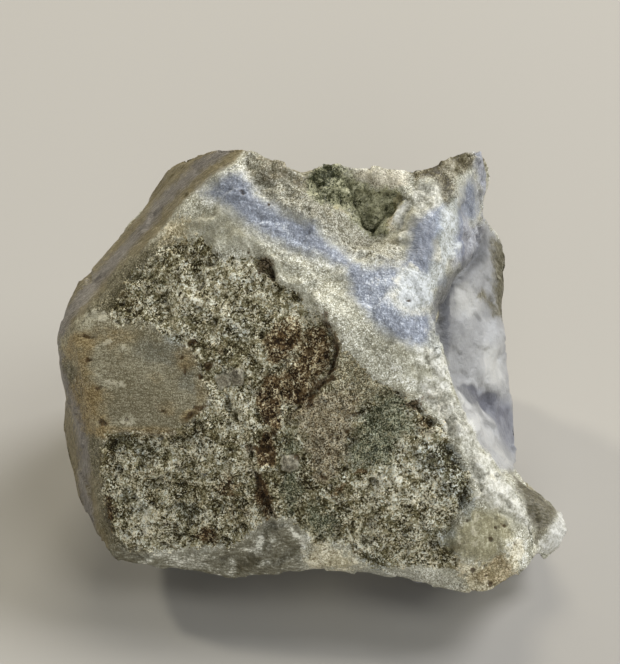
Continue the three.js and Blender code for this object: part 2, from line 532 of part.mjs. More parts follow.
// Trades the shared edge of two nearly level facets where that makes rounder triangles
function swapEdges() {
  for (let round = 0; round < 4; round++) {
    const m = edgeFaces();
    const busy = new Set();
    let n = 0;
    for (const [e, faces] of m) {
      if (ridge.has(e) || faces.length !== 2) continue;
      const [f, g] = faces;
      if (busy.has(f) || busy.has(g)) continue;
      const a = Math.floor(e / 100000),
        b = e % 100000;
      const tf = T[f],
        tg = T[g];
      const kf = [0, 1, 2].find((k) => key(tf[k], tf[(k + 1) % 3]) === e);
      const p = tf[kf],
        q = tf[(kf + 1) % 3],
        r = tf[(kf + 2) % 3];
      const s = tg.slice(0, 3).find((x) => x !== a && x !== b);
      if (tf[3] !== tg[3]) continue;
      if (m.has(key(r, s)) || dot(normalOf(tf), normalOf(tg)) < Math.cos((BEST_ANGLE_TURN * Math.PI) / 180)) continue;
      const before = Math.min(smallestAngle(p, q, r), smallestAngle(q, p, s));
      const after = Math.min(smallestAngle(r, p, s), smallestAngle(r, s, q));
      if (after <= before + 0.02) continue;
      const n1 = normalOf([r, p, s]),
        n2 = normalOf([r, s, q]),
        old = normalOf(tf);
      if (dot(n1, old) < 0.5 || dot(n2, old) < 0.5) continue;
      T[f] = [r, p, s, tf[3]];
      T[g] = [r, s, q, tf[3]];
      busy.add(f);
      busy.add(g);
      for (const x of [key(p, s), key(s, q), key(q, r), key(r, p)]) (m.get(x) || []).forEach((i) => busy.add(i));
      n++;
    }
    if (!n) return;
  }
}

// Slow random field, about -1 to 1, from a lattice of the given spacing
function field(p, spacing, seed) {
  const g = p.map((c) => c / spacing);
  const i = g.map(Math.floor);
  const f = g.map((c, k) => c - i[k]);
  const s = f.map((c) => c * c * c * (c * (c * 6 - 15) + 10));
  const at = (x, y, z) => {
    let h = (Math.imul(x, 374761393) ^ Math.imul(y, 668265263) ^ Math.imul(z, 2147483629) ^ Math.imul(seed, 1274126177)) | 0;
    h = Math.imul(h ^ (h >>> 15), 2246822519);
    h = Math.imul(h ^ (h >>> 13), 3266489917);
    return ((h ^ (h >>> 16)) >>> 0) / 2147483647.5 - 1;
  };
  let total = 0;
  for (let k = 0; k < 8; k++) {
    const o = [k & 1, (k >> 1) & 1, k >> 2];
    total +=
      at(i[0] + o[0], i[1] + o[1], i[2] + o[2]) *
      (o[0] ? s[0] : 1 - s[0]) *
      (o[1] ? s[1] : 1 - s[1]) *
      (o[2] ? s[2] : 1 - s[2]);
  }
  return total;
}

refine(FACET_MAX * NATURAL_SCALE);

const REST_HEIGHT = 1e-6;
const resting = V.map((v) => v[2] < REST_HEIGHT);

const behind = V.map(() => true);
for (const t of T) if (!t[3]) for (const i of t.slice(0, 3)) behind[i] = false;

// Wears the faces and, less, the ridges
for (let round = 0; round < BACK_WEAR_ROUNDS; round++) {
  const around = V.map(() => []);
  const along = V.map(() => []);
  for (const e of edgeFaces().keys()) {
    const a = Math.floor(e / 100000),
      b = e % 100000;
    around[a].push(b);
    around[b].push(a);
    if (ridge.has(e)) {
      along[a].push(b);
      along[b].push(a);
    }
  }
  const next = V.map((v, i) => {
    if (resting[i] || (round >= FACE_WEAR_ROUNDS && !behind[i])) return v;
    const near = along[i].length ? along[i] : around[i];
    if (along[i].length === 1 || along[i].length > 2) return v;
    const w = along[i].length ? EDGE_WEAR : 0.5;
    return v.map((c, k) => c * (1 - w) + (w * near.reduce((s, n) => s + V[n][k], 0)) / near.length);
  });
  next.forEach((v, i) => {
    V[i] = v;
  });
  swapEdges();
}

// Breaks the back off flat, more the further it is from the outline
const outline = V.filter((v, i) => !behind[i]);
for (let i = 0; i < V.length; i++) {
  if (!behind[i] || resting[i]) continue;
  let near = Infinity;
  for (const o of outline) near = Math.min(near, len(sub(V[i], o)));
  const share = BREAK_SHARE * Math.min(1, near / (BREAK_MARGIN * NATURAL_SCALE));
  for (const [x, y, z, reach] of BREAKS) {
    const n = [x, y, z].map((c) => c / len([x, y, z]));
    const over = dot(V[i], n) - reach * NATURAL_SCALE;
    if (over > 0) V[i] = V[i].map((c, k) => c - n[k] * over * share);
  }
}

// Swells and chips the broken faces; the resting flat stays true
const N = V.map(() => [0, 0, 0]);
for (const t of T) {
  const n = cross(sub(V[t[1]], V[t[0]]), sub(V[t[2]], V[t[0]]));
  for (const i of t.slice(0, 3)) for (let k = 0; k < 3; k++) N[i][k] += n[k];
}
V.forEach((v, i) => {
  if (resting[i]) return;
  const l = len(N[i]) || 1;
  const low = Math.min(1, v[2] / (6 * NATURAL_SCALE));
  const d =
    low *
    NATURAL_SCALE *
    (SWELL * field(v, SWELL_LENGTH * NATURAL_SCALE, 3) + CHIP * field(v, CHIP_LENGTH * NATURAL_SCALE, 8));
  V[i] = v.map((c, k) => c + (d * N[i][k]) / l);
  V[i][2] = Math.max(V[i][2], 0.25 * NATURAL_SCALE);
});

const box = [0, 1].map((k) => {
  let lo = Infinity,
    hi = -Infinity;
  for (const v of V) {
    lo = Math.min(lo, v[k]);
    hi = Math.max(hi, v[k]);
  }
  return (lo + hi) / 2;
});

const positions = new Float32Array(V.length * 3);
V.forEach((v, i) => {
  positions[3 * i] = v[0] - box[0];
  positions[3 * i + 1] = v[1] - box[1];
  positions[3 * i + 2] = v[2];
});
const geometry = new THREE.BufferGeometry();
geometry.setAttribute("position", new THREE.BufferAttribute(positions, 3));
geometry.setIndex(T.flatMap((t) => t.slice(0, 3)));
geometry.computeVertexNormals();

const stone = new THREE.Mesh(
  geometry,
  new THREE.MeshStandardMaterial({ color: 0x8f8c84, roughness: 0.6, metalness: 0, flatShading: true }),
);
stone.name = "agate_stone";

const group = new THREE.Group();
group.name = "blue_lace_agate";
group.add(stone);
export default group;
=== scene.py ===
# A hand specimen of blue lace agate in its host rock, on a plain pale floor.
import math

import bpy
import numpy as np
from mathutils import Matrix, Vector
from mathutils.bvhtree import BVHTree


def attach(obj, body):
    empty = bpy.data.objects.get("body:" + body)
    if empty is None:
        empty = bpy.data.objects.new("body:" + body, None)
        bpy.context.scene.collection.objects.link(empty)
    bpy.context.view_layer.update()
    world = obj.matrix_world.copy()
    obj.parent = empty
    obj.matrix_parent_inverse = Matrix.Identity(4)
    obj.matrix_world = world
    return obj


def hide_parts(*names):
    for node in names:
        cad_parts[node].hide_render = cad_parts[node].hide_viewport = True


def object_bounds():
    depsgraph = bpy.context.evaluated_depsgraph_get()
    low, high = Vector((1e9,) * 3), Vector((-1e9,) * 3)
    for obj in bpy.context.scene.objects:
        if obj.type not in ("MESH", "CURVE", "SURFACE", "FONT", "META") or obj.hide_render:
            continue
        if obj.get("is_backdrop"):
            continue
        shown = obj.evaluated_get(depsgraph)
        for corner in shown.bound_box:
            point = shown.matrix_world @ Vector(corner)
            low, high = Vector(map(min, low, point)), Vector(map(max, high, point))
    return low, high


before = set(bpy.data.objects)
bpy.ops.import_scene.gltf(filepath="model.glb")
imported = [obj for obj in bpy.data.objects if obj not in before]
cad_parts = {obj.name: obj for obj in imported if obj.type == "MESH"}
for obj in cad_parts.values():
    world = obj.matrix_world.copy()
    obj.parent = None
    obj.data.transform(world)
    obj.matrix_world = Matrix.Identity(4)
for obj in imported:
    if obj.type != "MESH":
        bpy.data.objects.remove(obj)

CAD_LO, CAD_HI = [np.array(list(c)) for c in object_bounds()]

# ---------------------------------------------------------------- the fixed lie of the stone
# The markings are laid out on the broad face as seen square on from a point in front of and above it. LIE_* says how that
# layout sits in the stone's own frame. It never follows the camera.
SHIFT = np.array([0.6772, 16.2977, 0.0])  # mm from the layout's axes to the stone's
LIE_SCALE = 0.15  # mm for one layout unit at the face
LIE_REACH = 170.0  # mm from the face to the point the layout is drawn from
LIE_MID = (310.0, 332.0)
LIE_TILT = math.radians(35.0)
LIE_HEIGHT = 44.8
CE, SE = math.cos(LIE_TILT), math.sin(LIE_TILT)


def layout(P):
    """Layout coordinates u, v and the depth behind the face, mm, of points in the stone's frame, mm."""
    q = P + SHIFT
    z = q[:, 2] - LIE_HEIGHT
    d = q[:, 1] * CE - z * SE
    y = q[:, 1] * SE + z * CE
    s = 1 + d / LIE_REACH
    return LIE_MID[0] + q[:, 0] / (LIE_SCALE * s), LIE_MID[1] - y / (LIE_SCALE * s), d


# ---------------------------------------------------------------- random fields
def _hash(x, y, z, seed):
    h = (
        x.astype(np.uint32) * np.uint32(374761393)
        ^ y.astype(np.uint32) * np.uint32(668265263)
        ^ z.astype(np.uint32) * np.uint32(2147483629)
        ^ np.uint32(seed * 1274126177 & 0xFFFFFFFF)
    )
    h = (h ^ (h >> np.uint32(15))) * np.uint32(2246822519)
    h = (h ^ (h >> np.uint32(13))) * np.uint32(3266489917)
    return (h ^ (h >> np.uint32(16))).astype(np.float64) / 4294967295.0


def field(P, size, seed):
    """Smooth noise, about -1 to 1, with bumps about size mm across."""
    g = P / size
    i = np.floor(g).astype(np.int64)
    f = g - i
    s = f * f * f * (f * (f * 6 - 15) + 10)
    out = np.zeros(len(P))
    for k in range(8):
        o = (k & 1, (k >> 1) & 1, k >> 2)
        w = np.ones(len(P))
        for a in range(3):
            w = w * (s[:, a] if o[a] else 1 - s[:, a])
        out += w * _hash(i[:, 0] + o[0], i[:, 1] + o[1], i[:, 2] + o[2], seed)
    return out * 2 - 1


def fractal(P, size, seed, octaves=3, gain=0.55):
    out, a, t = 0, 1.0, 0
    for k in range(octaves):
        out = out + a * field(P + 17.3 * k, size / 2**k, seed + k)
        t += a
        a *= gain
    return out / t


def cells(P, size, seed):
    """Distance to the nearest of scattered points about size mm apart, over size, and that point's own random number."""
    g = P / size
    base = np.floor(g).astype(np.int64)
    best = np.full(len(P), 9.0)
    who = np.zeros(len(P))
    for dx in (-1, 0, 1):
        for dy in (-1, 0, 1):
            for dz in (-1, 0, 1):
                c = base + (dx, dy, dz)
                jx = _hash(c[:, 0], c[:, 1], c[:, 2], seed)
                jy = _hash(c[:, 0], c[:, 1], c[:, 2], seed + 101)
                jz = _hash(c[:, 0], c[:, 1], c[:, 2], seed + 202)
                r = np.sqrt((c[:, 0] + jx - g[:, 0]) ** 2 + (c[:, 1] + jy - g[:, 1]) ** 2 + (c[:, 2] + jz - g[:, 2]) ** 2)
                near = r < best
                best = np.where(near, r, best)
                who = np.where(near, _hash(c[:, 0], c[:, 1], c[:, 2], seed + 303), who)
    return best, who


def facets(P, size, seed, slope):
    """A broken surface, mm: plane chips about size mm across, each tilted its own way by up to slope."""
    q = P / size
    base = np.floor(q).astype(np.int64)
    best = np.full(len(P), 9.0)
    out = np.zeros(len(P))
    for dx in (-1, 0, 1):
        for dy in (-1, 0, 1):
            for dz in (-1, 0, 1):
                c = base + (dx, dy, dz)
                o = [c[:, k] + _hash(c[:, 0], c[:, 1], c[:, 2], seed + 101 * k) - q[:, k] for k in range(3)]
                r = o[0] ** 2 + o[1] ** 2 + o[2] ** 2
                tilt = sum(o[k] * (_hash(c[:, 0], c[:, 1], c[:, 2], seed + 11 + 101 * k) * 2 - 1) for k in range(3))
                near = r < best
                best = np.where(near, r, best)
                out = np.where(near, tilt, out)
    return out * size * slope * 2


def ramp(x, a, b):
    t = np.clip((x - a) / (b - a), 0, 1)
    return t * t * (3 - 2 * t)


# ---------------------------------------------------------------- outlines of the markings, in layout units
def inside(u, v, points, unit=0.155):
    """Signed distance to a closed outline, mm, positive inside."""
    n = len(points)
    best = np.full(len(u), 1e9)
    odd = np.zeros(len(u), bool)
    for i in range(n):
        x1, y1 = points[i]
        x2, y2 = points[(i + 1) % n]
        dx, dy = x2 - x1, y2 - y1
        t = np.clip(((u - x1) * dx + (v - y1) * dy) / (dx * dx + dy * dy + 1e-9), 0, 1)
        best = np.minimum(best, (u - x1 - t * dx) ** 2 + (v - y1 - t * dy) ** 2)
        if y1 != y2:
            odd ^= ((y1 > v) != (y2 > v)) & (u < (x2 - x1) * (v - y1) / (y2 - y1) + x1)
    return np.clip(np.where(odd, 1, -1) * np.sqrt(best) * unit, -9, 9)


def along(u, v, points, unit=0.155):
    """Distance to an open line, mm."""
    best = np.full(len(u), 1e9)
    for (x1, y1), (x2, y2) in zip(points, points[1:]):
        dx, dy = x2 - x1, y2 - y1
        t = np.clip(((u - x1) * dx + (v - y1) * dy) / (dx * dx + dy * dy + 1e-9), 0, 1)
        best = np.minimum(best, (u - x1 - t * dx) ** 2 + (v - y1 - t * dy) ** 2)
    return np.sqrt(best) * unit


def spot(u, v, x, y, rx, ry=None, turn=0.0, unit=0.155):
    """About the signed distance to an oval, mm, positive inside."""
    ry = ry or rx
    c, s = math.cos(math.radians(turn)), math.sin(math.radians(turn))
    a, b = (u - x) * c + (v - y) * s, -(u - x) * s + (v - y) * c
    return (1 - np.sqrt((a / rx) ** 2 + (b / ry) ** 2)) * min(rx, ry) * unit


def pairs(text):
    n = [float(x) for x in text.replace(",", " ").split()]
    return list(zip(n[::2], n[1::2]))


HOST = pairs("""112 312 118 300 125 292 127 280 132 270 142 268 152 262 158 256 163 250 172 243 182 240 192 241 200 238 206 243
214 250 222 256 232 257 243 257 252 254 262 253 270 258 273 268 276 280 282 285 290 288 297 292 301 300 303 308 312 310 322 316
328 326 338 336 342 345 346 352 356 362 366 372 376 380 386 386 394 388 402 392 412 400 420 405 424 414 434 418 440 424 445 436
452 446 456 455 460 462 468 475 472 485 470 497 464 508 458 518 452 527 446 535 440 541 446 547 455 552 460 560 458 570 446 568
430 566 410 567 390 568 372 566 356 558 350 550 340 546 325 546 312 540 306 530 300 524 290 518 280 517 270 519 262 524 254 530
246 536 238 541 228 545 215 546 200 547 185 549 170 550 150 550 130 551 122 546 115 537 109 525 106 512 103 498 101 480 101 460
102 445 108 434 118 431 132 431 148 433 162 435 175 433 183 426 192 420 200 412 207 405 210 395 205 385 200 375 198 365 194 355
186 347 178 345 165 340 160 332 152 325 140 322 128 325 118 325 112 320""")
WINDOW = pairs("""60 345 66 330 76 318 100 312 115 318 126 318 140 318 155 326 166 336 180 342 190 346 199 355 203 367 205 377 210 386
213 396 210 407 202 415 193 424 184 430 174 436 160 438 148 436 130 434 118 436 104 438 98 442 92 430 84 405 78 380 66 360""")
TAN = pairs("""60 345 78 320 95 295 115 268 135 252 160 236 172 230 182 240 170 252 150 264 138 274 130 282 130 294 122 304 116 318 100 332
96 360 98 400 106 432 110 470 112 505 118 530 130 544 150 546 150 556 126 558 108 545 98 520 92 480 86 440 76 400 62 370""")
STAIN = """190 415 11 6 -30 .9; 78 350 16 16 0 .9; 84 390 14 24 0 .9; 94 422 16 14 0 .8; 140 433 44 7 0 .9; 186 358 16 14 0 .7; 108 336 34 10 0 .6; 166 409 13 9 0 .55;
202 396 8 18 0 .5; 100 398 14 12 0 .5; 120 352 16 8 0 .3; 155 378 10 6 0 .45; 126 300 10 10 -40 .6; 170 235 12 8 -40 .5; 104 460 6 30 0 .5"""
FINE_GREY = pairs("""318 326 330 332 342 344 366 368 386 384 400 388 392 396 380 398 366 404 352 396 340 392 325 390 316 392 318 386 330 372 337 350 330 335""")
BAND = pairs("""224 176 230 172 237 170 243 175 250 184 256 192 262 197 270 202 278 207 286 212 296 217 306 221 314 224 320 232
328 240 338 245 346 252 352 258 362 262 370 265 380 264 392 262 400 266 404 274 404 284 396 290 390 296 396 304 404 310 414 312
426 308 434 316 435 330 432 342 425 350 412 347 400 341 390 337 380 331 372 323 366 314 360 306 353 299 348 290 347 280 344 270
338 268 330 262 320 258 312 255 300 253 291 250 282 245 272 240 262 235 253 230 245 224 237 217 230 211 224 206 216 201 208 198
202 195 200 191 206 186 214 181""")
HORN_BLUE = pairs("407 223 414 217 422 212 430 207 438 203 444 205 444 220 442 234 438 248 434 262 430 276 416 280 402 280 396 274 399 264 405 252 408 238")
HORN_BLUE_2 = pairs("466 180 471 178 475 182 479 190 481 202 481 214 477 222 468 224 459 220 457 210 458 198 461 188")
HORN_EDGE = pairs("471 140 510 140 516 200 500 226 486 222 480 216 480 198 477 180 472 164")
HORN_GREY = pairs("455 214 462 212 470 224 480 220 488 228 488 250 480 264 468 272 458 266 450 268 447 252 452 240 456 228")
HORN_UNDERSIDE_SHADE = pairs("484 230 490 244 484 260 474 272 460 284 451 296 447 312 447 338 442 352 432 334 429 302 438 282 452 268 466 256 478 244")
CRYSTALS = pairs("398 272 410 266 420 272 428 276 432 290 432 306 424 312 408 310 398 303 392 296 398 288")
STRIPE = pairs("442 212 450 206 456 215 456 230 460 245 456 256 450 268 444 276 438 288 432 286 430 272 436 258 440 245 443 230")
RIM_TOP = pairs("432 328 437 330 441 345 448 365 453 388 444 382 430 374 420 362 419 350 426 342")
RIM_LOW = pairs("""425 375 440 378 452 388 460 402 466 412 472 425 478 440 486 450 494 462 502 476 514 488 526 502 534 518 536 532 526 530
518 520 508 512 498 514 488 505 478 505 470 495 474 485 470 470 462 455 455 440 448 432 444 420 436 412 428 405 424 395 420 385""")
PIT_LIP = pairs("395 212 400 202 408 196 412 205 408 220 405 232 404 244 396 246 394 230")
CAP = pairs("350 172 362 169 380 168 400 169 410 176 408 184 398 188 386 190 374 188 366 182 356 180")
HORN = pairs("404 198 414 183 436 176 452 160 472 160 480 180 482 215 488 240 470 266 440 284 426 276 415 262 404 245")
HORN_CREAM = pairs("410 184 425 182 440 176 442 190 442 205 430 206 418 212 412 208 410 198")
CREST = pairs("416 166 430 162 440 156 452 150 465 146 474 156 470 168 460 176 454 182 456 196 448 205 442 198 440 184 428 178 414 180 411 172")
PIT = pairs("""308 176 318 166 332 160 345 167 352 178 362 184 374 190 388 192 398 192 402 200 398 210 392 220 386 230 376 232 364 228
354 218 344 210 332 206 320 202 312 196 306 188""")
ABOVE = pairs("""246 146 262 150 275 156 290 164 302 176 312 175 330 158 345 164 360 165 366 180 352 185 330 195 320 202 335 208 352 220
365 232 385 238 400 246 402 258 395 262 378 262 362 262 352 258 345 250 330 240 316 224 300 218 286 212 270 202 258 194 250 184 246 174 243 160""")
DARK_BLOB = pairs("250 256 256 253 264 254 272 260 275 270 276 280 270 279 264 272 256 266")
GREEN_A = pairs("352 440 356 425 362 412 368 402 380 395 392 392 402 396 410 404 414 415 412 428 404 440 396 452 385 462 372 468 358 468 350 460 346 450")
GREEN_B = pairs("282 430 292 426 300 432 304 445 306 460 304 475 308 490 306 505 298 515 288 518 280 505 276 490 278 470 276 450")
GREEN_C = pairs("298 505 312 498 326 500 338 508 342 522 336 536 324 542 310 536 300 525")
PINK = pairs("300 400 312 392 325 388 340 390 352 392 356 402 354 415 350 430 346 445 344 458 340 470 330 480 320 482 312 472 308 455 305 440 302 425 298 412")
WAXY = pairs("446 541 452 533 458 526 464 520 470 512 480 508 490 514 500 514 508 522 512 532 510 540 504 548 500 556 490 562 478 560 466 560 458 553 450 548")
YELLOW = pairs("455 556 462 562 478 562 492 563 502 558 506 548 512 540 520 540 522 552 518 564 510 576 500 586 488 596 475 596 466 588 462 574 458 566")
GREY_FOOT = pairs("""96 545 122 550 135 553 170 552 200 549 230 546 245 540 255 530 270 520 285 518 296 524 303 534 306 546 304 556 306 576 260 580
230 584 200 580 150 574 104 566""")
CRUST = pairs("306 552 320 545 335 548 350 552 362 558 360 566 345 568 325 570 308 570")
REAR = pairs("""482 214 486 222 500 238 510 252 512 290 508 330 514 380 522 430 520 470 508 474 498 468 486 452 478 446 470 425 458 402 450 388
446 366 440 345 436 332 440 318 436 306 440 290 452 280 468 266 480 250""")
REAR_WHITE_A = pairs("452 285 470 283 480 292 482 310 470 318 456 316 448 300")
REAR_WHITE_B = pairs("480 345 500 345 506 370 504 386 488 388 482 370")
REAR_DARK = pairs("464 386 485 390 505 398 518 412 520 442 512 458 500 440 490 420 478 402")
REAR_OLIVE = pairs("490 236 500 238 514 250 516 300 506 322 495 315 493 298 494 280 493 262 489 250")
FOOT = pairs("508 470 530 484 552 500 562 504 556 520 548 530 540 540 536 552 530 545 534 530 530 516 526 504 516 488")
FOOT_WHITE = pairs("559 503 576 512 578 534 564 545 550 553 538 552 538 542 547 532 555 520")

# lighter and darker clumps, and browner and bluer ones: middle, half axes, turn, how much
TONE = """438 270 10 12 0 .14; 116 309 8 6 0 -.30; 145 278 17 7 15 -.28; 202 245 15 7 0 -.20; 226 326 7 6 0 -.18; 193 344 7 6 0 -.30; 255 310 7 6 0 -.18;
190 305 24 13 10 .10; 246 272 14 8 0 .14; 222 402 10 12 0 .16; 128 446 26 8 0 -.24; 108 448 6 8 0 -.25; 166 472 17 16 0 .14;
142 492 7 8 0 .22; 127 496 5 9 0 -.10; 116 469 7 5 0 -.25; 155 472 6 4 0 -.22; 110 515 6 20 0 -.26; 134 528 15 18 0 .16;
188 512 14 9 0 -.24; 184 535 8 7 0 -.26; 206 537 11 8 0 -.22; 230 500 17 18 0 -.12; 208 455 9 15 0 .14; 300 430 14 10 0 .10;
404 395 12 9 30 -.30; 424 422 13 11 30 -.22; 429 433 5 5 0 .45; 436 456 16 16 0 -.20; 388 498 17 22 0 .14; 365 476 8 5 0 -.10;
454 480 12 24 -20 -.24; 447 555 9 9 0 -.26; 415 540 20 12 0 .10; 430 575 26 8 10 .18; 340 520 14 16 0 -.12; 350 545 20 8 0 .12;
285 345 12 16 0 -.16; 318 350 12 22 20 -.14; 296 385 16 14 0 -.20; 268 400 9 20 0 -.22; 265 450 9 12 0 -.22; 262 500 8 20 -15 -.26;
385 455 12 16 0 -.14; 376 420 9 16 0 -.08; 305 480 7 14 0 -.10; 240 420 12 26 0 .06; 225 185 10 18 -40 -.04; 300 228 26 9 35 -.04;
380 290 22 12 40 .14; 415 325 16 12 0 .16; 246 172 4 12 -30 .25; 262 190 8 6 0 .22; 285 236 30 4 33 .30; 216 204 14 5 20 .22;
330 266 20 4 30 .28; 365 305 5 16 -25 .22; 355 258 10 4 10 .22; 300 285 26 10 40 -.06; 340 300 22 12 40 .06; 236 232 20 8 25 -.12;
205 226 16 8 10 -.14; 378 345 26 12 40 -.08; 405 372 14 9 40 .18; 420 385 8 8 0 .14; 430 410 8 8 0 .12; 350 325 10 8 0 .04;
340 182 16 8 0 .06; 375 216 18 10 -10 -.10; 372 228 5 5 0 -.10; 400 218 6 12 10 .25; 350 206 16 8 0 .05; 338 196 20 8 0 -.10; 326 176 8 6 0 -.14; 350 206 14 6 20 .10;
290 196 18 8 30 .05; 274 168 16 8 30 -.22; 300 180 12 6 10 -.20; 346 240 26 8 30 .10; 388 250 14 8 0 .16; 395 238 7 10 0 -.26;
140 345 24 16 0 -.03; 388 300 34 20 40 .10; 452 153 18 4 -30 -.4; 425 168 14 4 0 -.3; 455 176 5 9 20 -.2; 448 186 9 13 0 -.1; 462 170 3 14 10 .3;
257 541 3 7 -35 .5; 274 544 5 2 0 .35; 250 549 16 4 0 .35; 296 531 3 9 -30 .45; 303 545 5 10 -20 .35; 244 559 5 2 0 .3; 228 567 5 3 0 .3; 266 563 8 4 0 .3;
180 560 30 3 0 .25; 150 568 20 3 0 .3; 210 574 25 2 0 .35; 243 566 10 7 0 -.25; 288 552 12 8 0 -.1; 253 557 8 4 0 -.25; 275 537 14 6 0 -.15; 128 560 14 5 0 -.1;
452 542 10 14 0 -.18; 470 518 8 8 0 .15; 484 536 6 16 0 .12; 498 545 8 10 0 .10; 364 172 8 3 0 .3; 404 178 4 8 0 .3; 384 182 16 4 0 -.12; 372 172 10 3 0 .1; 190 385 14 16 0 -.05; 125 422 10 4 0 .32; 112 384 12 2 0 .34; 126 346 8 4 0 .16; 98 318 4 4 0 .5; 84 322 12 8 -30 .22;
490 476 3 4 -30 .5; 494 494 12 14 -30 .15; 500 520 9 12 -30 .05; 512 548 8 7 0 .35; 480 530 16 14 0 -.04; 500 575 12 10 0 -.16; 525 555 6 12 0 .25;
440 262 8 14 20 -.10; 422 236 14 24 -20 -.16; 468 202 10 20 0 -.24; 414 290 17 22 0 .38; 190 224 22 9 -45 -.10; 122 300 14 18 30 -.06; 405 378 30 12 45 .07; 290 258 56 12 37 -.04; 318 176 15 11 10 -.22; 335 165 12 6 20 -.12; 412 470 36 44 0 .16; 378 202 22 17 0 .16; 324 184 20 13 30 -.14; 448 152 24 5 -28 -.2; 455 149 22 5 -28 -.22; 430 164 14 4 -20 -.15; 378 222 8 8 0 -.2; 392 205 5 10 10 -.16; 409 364 11 5 -35 -.18; 428 350 6 11 0 -.14; 437 398 7 14 -25 -.14; 447 428 4 9 -20 .14; 456 458 5 9 -20 -.14; 418 338 6 5 0 .16; 398 352 12 5 30 -.10; 450 500 7 10 0 .08; 191 416 8 4 -30 -.3; 468 202 9 22 0 -.22; 474 245 10 12 20 -.20; 448 240 7 22 -5 .18; 427 192 12 12 0 -.16; 300 262 6 3 40 .2; 310 282 5 8 30 .25; 420 352 16 10 30 .12; 444 372 6 20 -20 .2"""
HUE = """450 153 24 7 -28 .5; 447 234 9 26 -8 -.9; 462 240 12 28 -12 -.7; 438 270 12 13 0 -1.0; 190 224 22 9 -45 .4; 452 215 8 28 -8 -.6; 438 400 9 20 -28 .4; 450 430 7 20 -25 .4; 436 343 7 13 -20 -.5; 282 340 16 22 10 1.0; 316 352 18 26 15 .9; 296 385 24 18 0 1.0; 268 402 11 24 0 1.1; 266 450 11 14 0 1.0; 262 500 8 20 -15 .9;
226 490 12 12 0 .6; 206 537 13 9 0 .8; 110 515 6 22 0 .7; 155 472 8 6 0 .4; 404 398 12 8 30 .7; 424 424 13 11 30 .6; 365 476 9 5 0 1.0;
335 490 14 5 -30 .8; 250 300 14 10 0 .25; 222 340 12 12 0 .3; 205 380 8 16 0 .4; 240 512 16 10 0 .4; 272 168 18 9 30 .7; 302 182 14 7 10 .7;
366 246 12 6 0 .5; 398 214 3 18 5 .9; 145 278 17 8 15 -.5; 127 496 7 11 0 -.7; 188 512 16 10 0 -1.0; 436 456 18 18 0 -.9; 440 540 16 10 0 -.8; 375 560 16 8 0 -.6; 240 330 14 12 0 -.5; 462 500 8 20 -10 -.8; 140 505 10 12 0 -.5; 208 478 9 7 0 -.5;
128 446 26 8 0 -.8; 454 480 12 24 -20 -.9; 184 535 8 7 0 -.5; 222 378 8 8 0 -.5; 160 350 24 16 0 -.6; 192 382 14 14 0 -.6;
240 300 18 14 0 -.15; 470 575 20 8 0 .4; 500 572 18 14 0 .9; 520 540 6 10 0 .1; 330 175 10 6 0 .4; 415 290 20 24 0 -.8; 452 156 20 6 -30 .3; 395 216 3 14 15 .9; 342 206 4 14 -50 .5; 345 214 3 18 -50 .6"""


# where the chalcedony is smooth and even
CALM = """384 178 22 9 5 .8; 452 160 24 11 -28 .9; 420 238 15 26 -15 1; 468 202 11 24 0 1; 484 190 10 30 0 1; 205 228 34 16 -35 1; 236 236 24 14 20 .9; 270 262 16 10 25 .8; 300 292 26 10 45 .5; 140 285 16 10 -40 .8; 350 305 18 12 40 .5;
285 176 20 8 25 .5; 410 355 30 16 40 .7; 440 395 14 26 -30 .9; 470 440 12 26 -30 .8; 512 512 20 22 0 .9; 488 470 14 16 0 .8;
425 195 16 14 0 .6; 450 235 12 30 0 .6; 405 225 10 16 0 .7; 432 570 30 8 10 .6; 355 560 30 6 0 .4; 495 500 10 20 0 .6"""


# clumps in the hollow and on the foot, columns as above: mostly painted shade and light, darker next to the slab's
# edge, on the facet below the rim and over the foot, paler towards the right and in small highlights along the ridge
REAR_TONE_AND_SHADE = """468 200 8 20 0 -.16; 452 151 24 5 -28 -.34; 446 172 14 5 -20 .10; 444 302 6 24 0 -.25; 448 318 10 32 0 -.34; 444 352 7 22 0 -.2; 462 352 10 26 0 -.04; 487 335 10 16 0 .24; 492 368 9 14 0 .46; 466 302 12 14 0 .26;
486 266 8 16 0 .02; 472 284 10 8 0 -.10; 446 300 7 10 0 -.25; 470 393 10 7 25 -.75; 488 402 9 10 25 -.55; 503 414 8 8 0 -.3; 500 352 5 24 0 .1;
484 392 5 3 0 .25; 532 508 28 24 0 -.18; 462 400 6 5 30 .5; 474 420 9 9 40 .5; 488 436 8 10 40 .25; 504 432 8 18 0 -.10; 498 458 10 10 0 .12; 476 380 14 5 10 .1; 480 316 10 5 0 -.1"""
